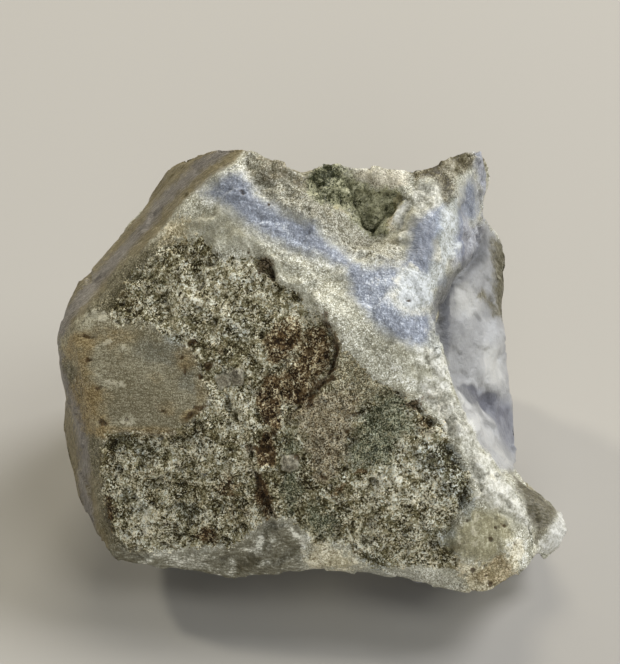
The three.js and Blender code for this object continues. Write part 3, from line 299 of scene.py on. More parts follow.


# small things on the face, each an oval: x y rx ry turn
# PITS: small dark brown holes; those strung along the ledge by the rust patch and the crevice below it darken those
# lines as painted shadow
PITS = """88.5 359.5 2.4 2 30; 88 336.5 6 1.9 0; 97.5 388.5 3.2 1.3 -45; 127 418.5 2 2.4 0; 161 412 2.3 1.5 0; 198.5 375.5 3 3.2 0;
180.5 357 2 2 0; 193.5 343 5 3.6 0; 208 366 4 2.2 -20; 185.5 371.5 1 2.2 0; 162 337 1.5 1.4 0; 182.5 346.5 1.3 1.3 0; 102 423 3.6 2.8 30;
191 415.5 7.5 3 -32; 201 407.5 6 2 -12; 338.5 350 8 2 111; 334 364 9 1.8 104; 332 377 3.4 2.8 0; 325 383 8 2.2 138; 314 395 10 1.8 125;
299 407 2 2 0; 274 432 3.4 3.8 0; 263 449 7.5 2.6 10; 271 458 3 2.6 0; 261.5 482 6.5 2 63; 265.5 493.5 7.5 2.8 77; 268.5 505 7 2.8 78;
329 454 4 2.6 20; 336.5 438.5 1.9 1.9 0; 348 431 2 1.9 0; 359 414 2.4 1.8 0; 331 436 1.3 2.4 0; 325 478 3 1.8 0; 496.5 518 1.6 1.3 -20;
496 527 1.4 1.4 0; 490 540.5 1.9 .9 20; 513 544 1.3 2 20; 485 566 1.3 1.9 0; 473 569.5 1.6 1.6 0; 504 524 1.1 1.1 0; 487 576 1.8 1.4 0;
489 584 1.7 1.4 0; 466 519 2.8 2 -20; 243 192 1.5 1.3 0; 268 205 1.5 1.2 0; 247 250 1.4 1.3 0; 408 300 1.5 1.1 0; 297 456.5 6 2.6 35"""
# GLINTS: bright specks, partly pale flecks in the stone and partly painted highlights
GLINTS = """101.5 317.5 2.4 3.8 10; 79 320 2.6 1.3 -50; 85 315 4 1.2 -10; 104 345 4 1.5 -25; 123.5 348 2 1.8 0; 122 385 2.7 1.8 0; 100 382 9 1.0 3;
131 424 3.4 3.2 0; 122 421 2 1.4 0; 474 529 1.1 4.5 0; 459 535 1.6 2.8 20; 473 543 3.4 1.7 0; 476 517 2.2 3.2 0; 475 503 3.4 1.9 -30;
484 500 1.9 4.6 10; 490 476 2.8 4.4 -25; 535 551 1.3 5 5; 237 371 6 1.2 15; 243.5 377 1.1 4.6 0; 316 318 9 0.8 12; 429 433 4.5 3.6 20"""
DOTS = "290.5 463 9.2 9.0 0; 236.5 378 7.8 7.8 0; 221.5 380 7 8 0"


def ovals(u, v, text, unit=0.155):
    """About the distance, mm, to the nearest of a list of ovals, positive inside."""
    return np.maximum.reduce([spot(u, v, *[float(k) for k in row.split()], unit=unit) for row in text.split(";")])


def clumps(u, v, text):
    """Ovals with soft edges, added up."""
    out = np.zeros(len(u))
    for row in text.split(";"):
        x, y, rx, ry, turn, much = (float(k) for k in row.split())
        c, s = math.cos(math.radians(turn)), math.sin(math.radians(turn))
        a, b = ((u - x) * c + (v - y) * s) / rx, (-(u - x) * s + (v - y) * c) / ry
        out += much * ramp(np.sqrt(a * a + b * b), 1.45, 0.55)
    return out


# ---------------------------------------------------------------- the surface
UNIT = 1000.0  # mm to a metre
FINE_EDGE = 0.56  # mm, longest edge on the broad face and its neighbours
COARSE_EDGE = 1.15  # mm, on the back and underside

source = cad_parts["agate_stone"].data
source.calc_loop_triangles()
raw = np.zeros(len(source.vertices) * 3)
source.vertices.foreach_get("co", raw)
raw = raw.reshape(-1, 3) * UNIT
tri = np.zeros(len(source.loop_triangles) * 3, np.int32)
source.loop_triangles.foreach_get("vertices", tri)
_, first, back = np.unique(np.round(raw, 3), axis=0, return_index=True, return_inverse=True)
V = raw[first]
T = back.reshape(-1)[tri].reshape(-1, 3).astype(np.int64)
T = T[(T[:, 0] != T[:, 1]) & (T[:, 1] != T[:, 2]) & (T[:, 0] != T[:, 2])]


def face_normals(V, T):
    n = np.cross(V[T[:, 1]] - V[T[:, 0]], V[T[:, 2]] - V[T[:, 0]])
    return n


def vertex_normals(V, T):
    fn = face_normals(V, T)
    N = np.zeros_like(V)
    for k in range(3):
        for a in range(3):
            N[:, a] += np.bincount(T[:, k], fn[:, a], len(V))
    return N / (np.linalg.norm(N, axis=1)[:, None] + 1e-12)


def edges_of(T):
    """Unique edges, the edge of each side of each triangle, and a key for each edge."""
    e = np.sort(np.concatenate([T[:, [0, 1]], T[:, [1, 2]], T[:, [2, 0]]]), axis=1)
    key = e[:, 0] * 10_000_000 + e[:, 1]
    uniq, inv = np.unique(key, return_inverse=True)
    return np.stack([uniq // 10_000_000, uniq % 10_000_000], 1), inv.reshape(3, -1).T, uniq


def smooth(V, T, crease, share, hold):
    """One round: faces relax towards their neighbours, ridges only along themselves, and what rests stays."""
    E, _, key = edges_of(T)
    sharp = np.isin(key, crease)

    def mean(E):
        s = np.zeros_like(V)
        n = np.bincount(E.ravel(), minlength=len(V)).astype(float)
        for a in range(3):
            s[:, a] = np.bincount(E[:, 0], V[E[:, 1], a], len(V)) + np.bincount(E[:, 1], V[E[:, 0], a], len(V))
        return s / np.maximum(n, 1)[:, None], n

    m, _ = mean(E)
    mc, nc = mean(E[sharp])
    w = np.where(nc == 0, share, np.where(nc == 2, share * 0.5, 0.0))
    w[hold] = 0
    target = np.where((nc == 2)[:, None], mc, m)
    return V + (target - V) * w[:, None]


def split(V, T, crease, limit):
    """Cuts every edge longer than limit (a function of a place) in half."""
    E, side, key = edges_of(T)
    mid = (V[E[:, 0]] + V[E[:, 1]]) / 2
    cut = np.linalg.norm(V[E[:, 0]] - V[E[:, 1]], axis=1) > limit(mid)
    new = np.full(len(E), -1)
    new[cut] = len(V) + np.arange(cut.sum())
    was = np.isin(key, crease)
    keep = key[was & ~cut]
    c = was & cut
    a = np.stack([E[c, 0], new[c]], 1)
    b = np.stack([E[c, 1], new[c]], 1)
    ab = np.sort(np.concatenate([a, b]), axis=1)
    crease = np.concatenate([keep, ab[:, 0] * 10_000_000 + ab[:, 1]])
    V = np.concatenate([V, mid[cut]])
    m = new[side]
    has = m >= 0
    count = has.sum(1)
    out = [T[count == 0]]
    three = count == 3
    t, q = T[three], m[three]
    out += [np.stack(x, 1) for x in ((t[:, 0], q[:, 0], q[:, 2]), (q[:, 0], t[:, 1], q[:, 1]), (q[:, 2], q[:, 1], t[:, 2]), (q[:, 0], q[:, 1], q[:, 2]))]
    for k in range(3):
        one = (count == 1) & has[:, k]
        t, q = T[one], m[one, k]
        A, B, C = t[:, k], t[:, (k + 1) % 3], t[:, (k + 2) % 3]
        out += [np.stack((A, q, C), 1), np.stack((q, B, C), 1)]
        two = (count == 2) & ~has[:, (k + 2) % 3]
        t = T[two]
        A, B, C = t[:, k], t[:, (k + 1) % 3], t[:, (k + 2) % 3]
        p, r = m[two, k], m[two, (k + 1) % 3]
        short = np.linalg.norm(V[A] - V[r], axis=1) < np.linalg.norm(V[p] - V[C], axis=1)
        out.append(np.stack((p, B, r), 1))
        out.append(np.where(short[:, None], np.stack((A, p, r), 1), np.stack((A, p, C), 1)))
        out.append(np.where(short[:, None], np.stack((A, r, C), 1), np.stack((p, r, C), 1)))
    return V, np.concatenate(out), crease


# The ridges of the solid stay crisp
E, side, key = edges_of(T)
fn = face_normals(V, T)
fn /= np.linalg.norm(fn, axis=1)[:, None] + 1e-12
order = np.argsort(side.ravel(), kind="stable")
faces_of = (order // 3).reshape(-1, 2)
bend = np.einsum("ij,ij->i", fn[faces_of[:, 0]], fn[faces_of[:, 1]])
crease = key[bend < math.cos(math.radians(38))]
rest = V[:, 2] < 1e-3

VIEW = np.array([0.0, -CE, SE])  # square out of the broad face


# Which way each place faces, from the solid's own faces, smoothed
N0 = vertex_normals(V, T)
for _ in range(3):
    E, _, _ = edges_of(T)
    s = np.zeros_like(N0)
    for a in range(3):
        s[:, a] = np.bincount(E[:, 0], N0[E[:, 1], a], len(V)) + np.bincount(E[:, 1], N0[E[:, 0], a], len(V))
    N0 = N0 + s * 0.3
    N0 /= np.linalg.norm(N0, axis=1)[:, None]
facing = N0 @ VIEW

levels = 0
while True:
    # carry the facing value through the splits as a fourth coordinate
    E, _, _ = edges_of(T)
    f_mid = (facing[E[:, 0]] + facing[E[:, 1]]) / 2
    length = np.linalg.norm(V[E[:, 0]] - V[E[:, 1]], axis=1)
    lim = COARSE_EDGE + (FINE_EDGE - COARSE_EDGE) * ramp(f_mid, -0.25, 0.05)
    cut = length > lim
    if not cut.any():
        break
    V, T, crease = split(V, T, crease, lambda m, lim=lim: lim)
    facing = np.concatenate([facing, f_mid[cut]])
    rest = V[:, 2] < 1e-3
    if levels < 2:
        for _ in range(3 if levels == 0 else 2):
            V = smooth(V, T, crease, 0.5, rest)
    else:
        V = smooth(V, T, crease, 0.35, rest)
    levels += 1
    if levels > 8:
        break
V = smooth(V, T, crease, 0.4, rest)
# finer still round the small things on the face
for _ in range(2):
    E, _, _ = edges_of(T)
    mid = (V[E[:, 0]] + V[E[:, 1]]) / 2
    um, vm, dm = layout(mid)
    f_mid = (facing[E[:, 0]] + facing[E[:, 1]]) / 2
    close = (ovals(um, vm, PITS + ";" + GLINTS + ";" + DOTS) > -0.40) & (dm < 13) & (f_mid > 0.1)
    lim = np.where(close, 0.30, 9.0)
    cut = np.linalg.norm(V[E[:, 0]] - V[E[:, 1]], axis=1) > lim
    V, T, crease = split(V, T, crease, lambda m, lim=lim: lim)
    facing = np.concatenate([facing, f_mid[cut]])
    rest = V[:, 2] < 1e-3
print("stone surface:", len(V), "points", len(T), "triangles")

# ---------------------------------------------------------------- where each marking is
u, v, d = layout(V)
N = vertex_normals(V, T)
reach = 0.22 * (ramp(u, 418, 442) + ramp(u, 262, 222)) + 0.6 * ramp(inside(u, v, REAR), -0.4, 0.8) * ramp(d, 7, 11)
front = ramp(facing + reach, -0.02, 0.16)  # 1 on what the layout covers, 0 on the sides and back that it doesn't
# the slope beyond the crest faces the same way but belongs to the back
body = BVHTree.FromPolygons(V.tolist(), T.tolist())
apex = np.array([0.0, -LIE_REACH * CE, LIE_HEIGHT + LIE_REACH * SE]) - SHIFT
beyond = np.zeros(len(V))
for i in np.flatnonzero((front > 0) & (v < 236) & (u < 432)):
    way = Vector(apex - V[i]).normalized()
    if body.ray_cast(Vector(V[i] + 0.5 * N[i]) + 0.3 * way, way)[0] is not None:
        beyond[i] = 1
E, _, _ = edges_of(T)
count = np.bincount(E.ravel(), minlength=len(V))
for _ in range(5):
    beyond = 0.4 * beyond + 0.6 * (np.bincount(E[:, 0], beyond[E[:, 1]], len(V)) + np.bincount(E[:, 1], beyond[E[:, 0]], len(V))) / count
front = front * (1 - ramp(beyond, 0.30, 0.60))
wob = fractal(V, 3.0, 40, 3)
big = fractal(V, 14.0, 60, 3)
deep = d + 2.6 * big + 0.5 * wob  # depth through the vein, mm, with its waviness


def on_front(x, outside=-4.0):
    return x * front + outside * (1 - front)


slab = ramp(d, 14, 9)  # the front slab, not the hollow behind it
host = inside(u, v, HOST)
host = on_front(np.where(d < 11, host, -4))
host_back = np.minimum(deep - 40.5, 6) * (1 - front) - 4 * front
A = {}
A["host"] = np.maximum(host, host_back)
A["window"] = on_front(inside(u, v, WINDOW))
blue = np.maximum.reduce([inside(u, v, BAND), inside(u, v, HORN_BLUE), inside(u, v, HORN_BLUE_2)])
A["blue"] = on_front(np.where(d < 24, blue, -4))
A["violet"] = on_front(np.maximum(inside(u, v, HORN_EDGE), inside(u, v, HORN_GREY)))
# the underside of the horn and the edge of the hollow below it, painted dark grey as shade
A["under"] = on_front(np.where(d > 4, inside(u, v, HORN_UNDERSIDE_SHADE), -4))
white = np.maximum.reduce([inside(u, v, CRYSTALS) + 0.25] + [inside(u, v, p) for p in (STRIPE, RIM_TOP, RIM_LOW, PIT_LIP, HORN_CREAM)])
A["white"] = on_front(np.where(d < 16, white, -4))
A["cap"] = on_front(inside(u, v, CAP))
A["crest"] = on_front(inside(u, v, CREST))
A["pit"] = on_front(inside(u, v, PIT))
A["above"] = on_front(inside(u, v, ABOVE))
# dark marks: a dark blob at the foot of the step on the host's upper edge, part dark rock and part painted shadow; two
# dark spots; and dark lines along the ledge by the rust patch and along the crevice below it, painted shadow of those
# steps
darks = [
    inside(u, v, DARK_BLOB),
    0.5 - along(u, v, pairs("325 318 332 335 337 350 334 365 326 378 318 388 308 404")),
    0.45 + 0.5 * wob - along(u + 3 * field(V, 1.6, 49), v, pairs("255 474 258 488 263 498 271 514")),
    spot(u, v, 415, 405, 7, 5), spot(u, v, 264, 450, 10, 4),
]
dark = np.maximum.reduce(darks)
A["dark"] = on_front(np.where(d < 12, dark, -4))
A["green"] = on_front(np.maximum.reduce([inside(u, v, GREEN_A), inside(u, v, GREEN_B) - 0.9, inside(u, v, GREEN_C) - 0.9]))
A["pink"] = on_front(np.maximum(inside(u, v, PINK), spot(u, v, 297, 416, 9, 5)))
uj, vj = u + 2.2 * field(V, 0.8, 46), v + 2.2 * field(V, 0.8, 47)
for name, text in (("pits", PITS), ("glint", GLINTS), ("dot", DOTS)):
    A[name] = on_front(np.where(d < 13, ovals(uj, vj, text), -4), -1.0)
A["waxy"] = on_front(inside(u, v, WAXY))
A["yellow"] = on_front(np.maximum.reduce([inside(u, v, YELLOW), inside(u, v, CRUST), spot(u, v, 175, 232, 14, 9, -40)]))
A["grey"] = on_front(np.maximum(inside(u, v, GREY_FOOT), spot(u, v, 310, 556, 4)))
A["stain"] = clumps(u + 5 * wob, v + 2 * wob, STAIN) * front * (d < 13)
A["calm"] = np.clip(clumps(u + 7 * wob, v + 7 * field(V, 2.4, 48), CALM), 0, 1) * front * (d < 16)
A["rear"] = on_front(np.where(d > 11, inside(u, v, REAR), -4))
A["rear_white"] = on_front(np.where(d > 13, np.maximum(inside(u, v, REAR_WHITE_A), inside(u, v, REAR_WHITE_B)), -4))
A["rear_white"] = np.maximum(A["rear_white"], on_front(np.where(d > 9, 0.8 - along(u, v, pairs("454 392 464 404 480 426 496 450 506 462")), -4)))
A["rear_dark"] = on_front(np.where(d > 13, inside(u, v, REAR_DARK), -4))
A["rear_olive"] = on_front(np.where(d > 13, np.maximum(inside(u, v, REAR_OLIVE), 0.7 - along(u, v, pairs("481 293 490 302 498 313"))), -4))
A["rear_olive"] = np.maximum(A["rear_olive"], on_front(np.where(d > 7, inside(u, v, FOOT), -4)))
A["foot_white"] = on_front(np.where(d > 9, inside(u, v, FOOT_WHITE), -4))
A["tan"] = on_front(inside(u, v, TAN))
A["fine"] = on_front(inside(u, v, FINE_GREY))
near = front * (d < 13)
uw, vw = u + 9 * wob, v + 9 * field(V, 2.4, 45)
# tone: the stone's own lighter and darker patches on the face, painted shade and light in the hollow and on the foot,
# and a random tone over the back
A["tone"] = clumps(uw, vw, TONE) * near * (u < 528) + clumps(uw, vw, REAR_TONE_AND_SHADE) * front * ((d >= 13) | (u > 528)) + (1 - front) * (0.35 * fractal(V, 7.0, 81, 3) - 0.06)
# upright stripes on the crest and horn, clear and white patches in the rim, and painted shade darkening the crevices in
# the pit
upright = field(V * (1.0, 1.0, 0.24), 1.5, 131) + 0.5 * field(V * (1.0, 1.0, 0.3), 0.9, 132)
_, glass = cells(V, 2.1, 8)
crevice = ramp(np.abs(fractal(V, 4.2, 78, 2)), 0.11, 0.0)
A["tone"] += front * (d < 20) * (
    upright * (0.40 * ramp(inside(u, v, CREST), -0.4, 0.6) + 0.16 * ramp(inside(u, v, HORN), -0.4, 0.8))
    + 0.50 * (glass - 0.5) * ramp(np.maximum(inside(u, v, RIM_TOP), inside(u, v, RIM_LOW)), -1.2, 0.3) * ramp(v, 450, 400)
    - 0.20 * crevice * ramp(A["pit"], -0.3, 0.6)
)
A["hue"] = clumps(uw, vw, HUE) * near + (1 - front) * (0.9 * fractal(V, 8.0, 82, 3))
A["deep"] = deep
# the strips left of and above the broad face: how far outside it, mm
EDGE = pairs("""235 163 212 178 192 197 175 212 160 235 140 258 118 282 98 305 80 325 78 345 84 380 95 415 100 440 100 480 106 520 114 545 130 552""")
face_left = inside(u, v, EDGE + pairs("180 640 700 640 700 60 260 60 246 150"))
A["strip"] = np.clip(-face_left, -4, 9) * front + 6 * (1 - front)

A["turned"] = 1 - front

# ---------------------------------------------------------------- relief
m_host = ramp(A["host"] + 0.6 * wob, -0.2, 0.4)
m_win = ramp(A["window"] + 0.4 * wob, -0.3, 0.6) * (1 - m_host)
m_tan = ramp(A["tan"] + 0.4 * wob, -0.3, 0.6) * (1 - m_host)
m_blue = ramp(A["blue"] + 0.4 * wob, -0.3, 0.6)
m_rear = ramp(A["rear"], -0.3, 0.8)
m_pit = ramp(A["pit"], -0.3, 0.8)
m_strip = ramp(A["strip"], -0.3, 0.8) * front
m_waxy = ramp(A["waxy"], 0.0, 0.8)
m_grey = ramp(A["grey"], 0.0, 0.8)
m_quiet = ramp(np.maximum.reduce([A["green"], A["pink"], A["fine"]]) + 0.5 * wob, -0.4, 0.8)
behind = 1 - front

c1, w1 = cells(V, 1.25, 5)
n1 = field(V, 1.0, 21)
n2 = field(V, 1.9, 22)
n3 = field(V, 3.3, 27)
n4 = fractal(V, 4.5, 23, 3)
f2 = facets(V, 2.3, 61, 0.20)
f5 = facets(V, 5.2, 62, 0.15)
f9 = facets(V, 10.5, 63, 0.15)
grain = 0.34 * (0.5 - c1) + 0.20 * n1 + 0.22 * n2 + 0.22 * n3 + 0.20 * (w1 - 0.5) + 0.4 * f2
holes = -0.8 * ramp(fractal(V, 2.6, 31, 2), 0.30, 0.60)
chips = 0.18 * n4 + 0.06 * n1 + 0.06 * n2 + 0.32 * f2 + 0.42 * f5 - 0.10 * ramp(np.abs(fractal(V, 5.0, 77, 2)), 0.07, 0.0)
m_white = ramp(np.maximum(A["white"], A["above"]) + 0.4 * wob, -0.3, 0.8)

h = chips
m_white = m_white * (1 - 0.5 * ramp(inside(u, v, CRYSTALS), -1.0, 0.5))
h = h * (1 - m_white) + m_white * (0.24 * n4 + 0.08 * n1 + 0.08 * n2 + 0.75 * f2 + 0.75 * f5)
h = h * (1 - m_blue) + m_blue * (0.16 * n4 + 0.05 * n2 + 0.03 * n1 + 0.35 * f5 + 0.15 * f2)
h = h * (1 - m_strip) + m_strip * (0.20 * n4 + 0.04 * n2 + 0.28 * f5 + 0.02 * n1)
h = h * (1 - m_rear) + m_rear * (0.40 * n3 + 0.35 * n4 + 0.3 * f5 + 0.05 * n2)
h = h * (1 - m_grey) + m_grey * (0.28 * n4 + 0.08 * n2 + 0.9 * f5 + 0.5 * f2)
h = h * (1 - m_tan) + m_tan * (0.3 * n4 + 0.12 * n2 + 0.10 * n1 + 0.3 * f5)
h = h * (1 - m_host) + m_host * ((1.3 * grain + 1.1 * holes) * (1 - 0.5 * m_quiet) - 0.22)
h = h * (1 - m_pit) + m_pit * (grain * 1.2 + holes * 0.8 + 0.5 * n4 + 0.8 * f5 - 0.1 - 0.7 * crevice)
h = h * (1 - m_win) + m_win * (0.10 * n3 + 0.06 * n2 + 0.04 * n1 - 0.05)
h = h * (1 - m_waxy) + m_waxy * (0.14 * n4 + 0.04 * n1 + 0.2 * f5)
m_horn = ramp(inside(u, v, HORN) + 0.5 * wob, -0.6, 1.0) * front * (d < 16) * (1 - m_pit)
h = h * (1 - m_horn) + m_horn * (0.26 * upright + 0.16 * n4 + 0.40 * f5 + 0.05 * n2)
h *= 1 - 0.55 * ramp(inside(u, v, CRYSTALS), -0.8, 0.8) * front * (d < 16)
h -= 0.5 * ramp(A["dark"], -0.2, 0.6)


def ledge(points, high, wide=5.0, crisp=0.5):
    """A step along a line, mm: what lies to the right of a line that runs down stands high above what lies to its left."""
    line = pairs(points)
    best = np.full(len(u), 1e9)
    side_of = np.zeros(len(u))
    for (x1, y1), (x2, y2) in zip(line, line[1:]):
        dx, dy = x2 - x1, y2 - y1
        t = np.clip(((u - x1) * dx + (v - y1) * dy) / (dx * dx + dy * dy + 1e-9), 0, 1)
        r = (u - x1 - t * dx) ** 2 + (v - y1 - t * dy) ** 2
        near_it = r < best
        best = np.where(near_it, r, best)
        side_of = np.where(near_it, np.sign(dx * (v - y1) - dy * (u - x1)), side_of)
    r = np.sqrt(best) * 0.155
    ends = ramp(np.minimum(np.hypot(u - line[0][0], v - line[0][1]), np.hypot(u - line[-1][0], v - line[-1][1])) * 0.155, 0.0, 1.5)
    return high * 0.5 * -side_of * ramp(r + 0.25 * wob, 0, crisp) * ramp(r, wide, 0.5) * ends * front * (d < 14)


h += ledge("322 314 333 333 337 350 334 366 326 378 316 390 303 404", 1.7)
h += ledge("254 462 256 477 259 489 265 500 272 516", 1.5, 4.0)
h += ledge("250 246 264 253 273 264 277 281 284 289 298 293 304 306 318 316", 0.8, 3.0)
h += ledge("104 438 120 435 150 437 175 437 190 428 204 412", 0.6, 2.5)
h += ledge("447 434 456 452 470 478 471 492 462 512 444 540", 0.6, 2.5)
h += ledge("100 432 101 460 103 500 107 520 113 535 128 549", 0.5, 2.5)
h -= 0.9 * ramp(0.9 - along(u, v, pairs("358 203 366 214 373 228 381 216 389 206 399 200")), 0, 0.9) * front * (d < 20)
h -= 0.8 * ramp(0.7 - along(u, v, pairs("256 476 258 488 264 498 270 512")), 0, 0.7) * front
h += 0.32 * ramp(A["dot"], -0.15, 0.35) - 0.45 * ramp(A["pits"], -0.25, 0.20)
back_host = ramp(A["host"] + 0.6 * wob, -0.2, 0.4) * behind
h_back = 0.5 * fractal(V, 9.0, 91, 4) + 0.08 * n2 + 0.6 * f9 + 0.4 * f5 + 0.15 * f2
h_back = h_back * (1 - back_host) + back_host * (0.5 * fractal(V, 9.0, 91, 4) + 0.6 * f9 + grain + 0.45 * holes)
h = h * front + h_back * behind

# edges are chipped and worn
base = vertex_normals(V, T)
soft_n = base
E, _, _ = edges_of(T)
for _ in range(6):
    s = np.zeros_like(soft_n)
    for a in range(3):
        s[:, a] = np.bincount(E[:, 0], soft_n[E[:, 1], a], len(V)) + np.bincount(E[:, 1], soft_n[E[:, 0], a], len(V))
    soft_n = soft_n + s * 0.35
    soft_n /= np.linalg.norm(soft_n, axis=1)[:, None]
ridge = ramp(1 - np.einsum("ij,ij->i", base, soft_n), 0.004, 0.05)
ridge = ridge * ramp(V[:, 2], 2.0, 9.0)
h = h * (1 - 0.6 * ridge) - ridge * (0.06 + 0.45 * ramp(fractal(V, 2.6, 95, 2), 0.05, 0.5))

h = np.clip(h, -1.9, 1.0)
lo_mm, hi_mm = CAD_LO * UNIT, CAD_HI * UNIT
room = np.full(len(V), 9.0)
for a in range(3):
    room = np.where(N[:, a] > 0.05, np.minimum(room, (hi_mm[a] - V[:, a]) / np.maximum(N[:, a], 0.05)), room)
    if a < 2:
        room = np.where(N[:, a] < -0.05, np.minimum(room, (V[:, a] - lo_mm[a]) / np.maximum(-N[:, a], 0.05)), room)
h = np.minimum(h, np.maximum(room, 0) * 0.9)
h *= 1 - 0.65 * ramp(v, 558, 570) * ramp(u, 340, 310) * (d < 13)
h *= ramp(V[:, 2], 0.05, 3.0) * (0.45 + 0.55 * ramp(V[:, 2], 3.0, 9.0))
V = V + N * h[:, None]
V = smooth(V, T, crease[:0], 0.25, rest)
V[:, 2] = np.where(rest, 0.0, np.maximum(V[:, 2], 0.02))
V = np.clip(V, lo_mm + (0.0005, 0.0005, 0), hi_mm - 0.0005)

# how far each place lies below or above its surroundings, about 1.5 mm round; the colours use it for painted shade in
# the lows and painted light on the highs
level = h.copy()
count = np.bincount(E.ravel(), minlength=len(V)).astype(float)
for _ in range(5):
    level = 0.4 * level + 0.6 * (np.bincount(E[:, 0], level[E[:, 1]], len(V)) + np.bincount(E[:, 1], level[E[:, 0]], len(V))) / count
A["lows_and_highs"] = np.clip(h - level, -0.6, 0.6)
crisp = 0.32 * np.ones(len(V))
for weight, value in ((m_white, 0.5), (m_blue, 0.16), (m_strip, 0.12), (m_rear, 0.06), (m_grey, 0.2), (m_tan, 0.4), (m_host, 0.95), (m_pit, 0.95), (m_win, 0.12), (m_waxy, 0.08), (behind, 0.3), (back_host, 0.9), (0.7 * A["calm"] * (1 - m_host), 0.08)):
    crisp = crisp * (1 - weight) + value * weight
A["crisp"] = crisp
A["fibrous"] = np.maximum.reduce([m_blue * 0.8, m_strip, 0.5 * behind]) * (1 - m_host)

mesh = bpy.data.meshes.new("agate_surface")
mesh.vertices.add(len(V))
mesh.vertices.foreach_set("co", (V / UNIT).astype(np.float32).ravel())
mesh.loops.add(len(T) * 3)
mesh.loops.foreach_set("vertex_index", T.astype(np.int32).ravel())
mesh.polygons.add(len(T))
mesh.polygons.foreach_set("loop_start", np.arange(0, len(T) * 3, 3, dtype=np.int32))
mesh.polygons.foreach_set("loop_total", np.full(len(T), 3, np.int32))
mesh.update(calc_edges=True)
mesh.validate()
mesh.polygons.foreach_set("use_smooth", np.ones(len(mesh.polygons), bool))
for name, value in A.items():
    a = mesh.attributes.new("z_" + name, "FLOAT", "POINT")
    a.data.foreach_set("value", np.asarray(value, np.float32))
stone = bpy.data.objects.new("agate_surface", mesh)
bpy.context.scene.collection.objects.link(stone)


# ---------------------------------------------------------------- colour and finish
def lin(rgb, gain=1.0):
    out = []
    for c in rgb:
        c = c / 255
        c = c / 12.92 if c <= 0.04045 else ((c + 0.055) / 1.055) ** 2.4
        out.append(min(1.0, c * gain))
    return (*out, 1.0)


class Nodes:
    """Short names for the shader nodes used here."""

    def __init__(self, material):
        material.use_nodes = True
        self.tree = material.node_tree
        self.tree.nodes.clear()
        self.cache = {}

    def put(self, socket, value):
        if isinstance(value, bpy.types.NodeSocket):
            self.tree.links.new(value, socket)
        elif value is not None:
            socket.default_value = value

    def node(self, kind, **settings):
        n = self.tree.nodes.new(kind)
        for k, x in settings.items():
            setattr(n, k, x)
        return n

    def math(self, op, a, b=None, c=None, clamp=False):
        n = self.node("ShaderNodeMath", operation=op, use_clamp=clamp)
        for i, x in enumerate((a, b, c)):
            if x is not None:
                self.put(n.inputs[i], x)
        return n.outputs[0]

    def add(self, a, b):
        return self.math("ADD", a, b)

    def mul(self, a, b):
        return self.math("MULTIPLY", a, b)

    def mad(self, a, b, c):
        return self.math("MULTIPLY_ADD", a, b, c)

    def inv(self, a):
        return self.math("SUBTRACT", 1.0, a)

    def step(self, x, a, b, low=0.0, high=1.0):
        n = self.node("ShaderNodeMapRange", interpolation_type="SMOOTHSTEP", clamp=True)
        self.put(n.inputs["Value"], x)
        self.put(n.inputs["From Min"], a)
        self.put(n.inputs["From Max"], b)
        self.put(n.inputs["To Min"], low)
        self.put(n.inputs["To Max"], high)
        return n.outputs["Result"]

    def mix(self, f, a, b, kind="MIX"):
        n = self.node("ShaderNodeMix", data_type="RGBA", blend_type=kind, clamp_factor=True)
        self.put(n.inputs[0], f)
        self.put(n.inputs[6], a)
        self.put(n.inputs[7], b)
        return n.outputs[2]

    def blend(self, f, a, b):
        n = self.node("ShaderNodeMix", data_type="FLOAT", clamp_factor=True)
        self.put(n.inputs[0], f)
        self.put(n.inputs[2], a)
        self.put(n.inputs[3], b)
        return n.outputs[0]

    def place(self):
        if "place" not in self.cache:
            c = self.node("ShaderNodeTexCoord")
            m = self.node("ShaderNodeMapping")
            m.inputs["Scale"].default_value = (UNIT, UNIT, UNIT)
            self.tree.links.new(c.outputs["Object"], m.inputs["Vector"])
            self.cache["place"] = m.outputs[0]
        return self.cache["place"]

    def moved(self, scale, turn=(0, 0, 0), where=None):
        m = self.node("ShaderNodeMapping")
        m.inputs["Scale"].default_value = scale
        m.inputs["Rotation"].default_value = turn
        self.put(m.inputs["Vector"], where or self.place())
        return m.outputs[0]

    def noise(self, per_mm, detail=2.0, rough=0.5, where=None, warp=0.0, shift=0.0):
        n = self.node("ShaderNodeTexNoise", noise_dimensions="4D")
        self.put(n.inputs["Vector"], where or self.place())
        n.inputs["W"].default_value = shift
        n.inputs["Scale"].default_value = per_mm
        n.inputs["Detail"].default_value = detail
        n.inputs["Roughness"].default_value = rough
        n.inputs["Distortion"].default_value = warp
        return n.outputs["Fac"]

    def grains(self, per_mm, where=None, feature="F1", random=1.0):
        n = self.node("ShaderNodeTexVoronoi", feature=feature)
        self.put(n.inputs["Vector"], where or self.place())
        n.inputs["Scale"].default_value = per_mm
        n.inputs["Randomness"].default_value = random
        return n

    def tones(self, f, stops, gain=1.0):
        n = self.node("ShaderNodeValToRGB")
        e = n.color_ramp.elements
        while len(e) > 1:
            e.remove(e[-1])
        e[0].position, e[0].color = stops[0][0], lin(stops[0][1], gain)
        for p, c in stops[1:]:
            x = e.new(p)
            x.color = lin(c, gain)
        self.put(n.inputs[0], f)
        return n.outputs[0]

    def zone(self, name):
        key = "z_" + name
        if key not in self.cache:
            n = self.node("ShaderNodeAttribute", attribute_type="GEOMETRY", attribute_name=key)
            self.cache[key] = n.outputs["Fac"]
        return self.cache[key]


# how much paler the material is than it looks under this light
HOST_GAIN = 1.71
CREAM_GAIN = 1.21
TAN_GAIN = 1.06
ABOVE_GAIN = 0.94
BLUE_GAIN = 1.04
WHITE_GAIN = 0.90
WINDOW_GAIN = 1.40
STRIP_GAIN = 1.29
SIDE_GAIN = 1.14
PIT_GAIN = 2.15
CAP_GAIN = 1.35
GREY_GAIN = 1.52
WAXY_GAIN = 1.29
REAR_GAIN = 0.90

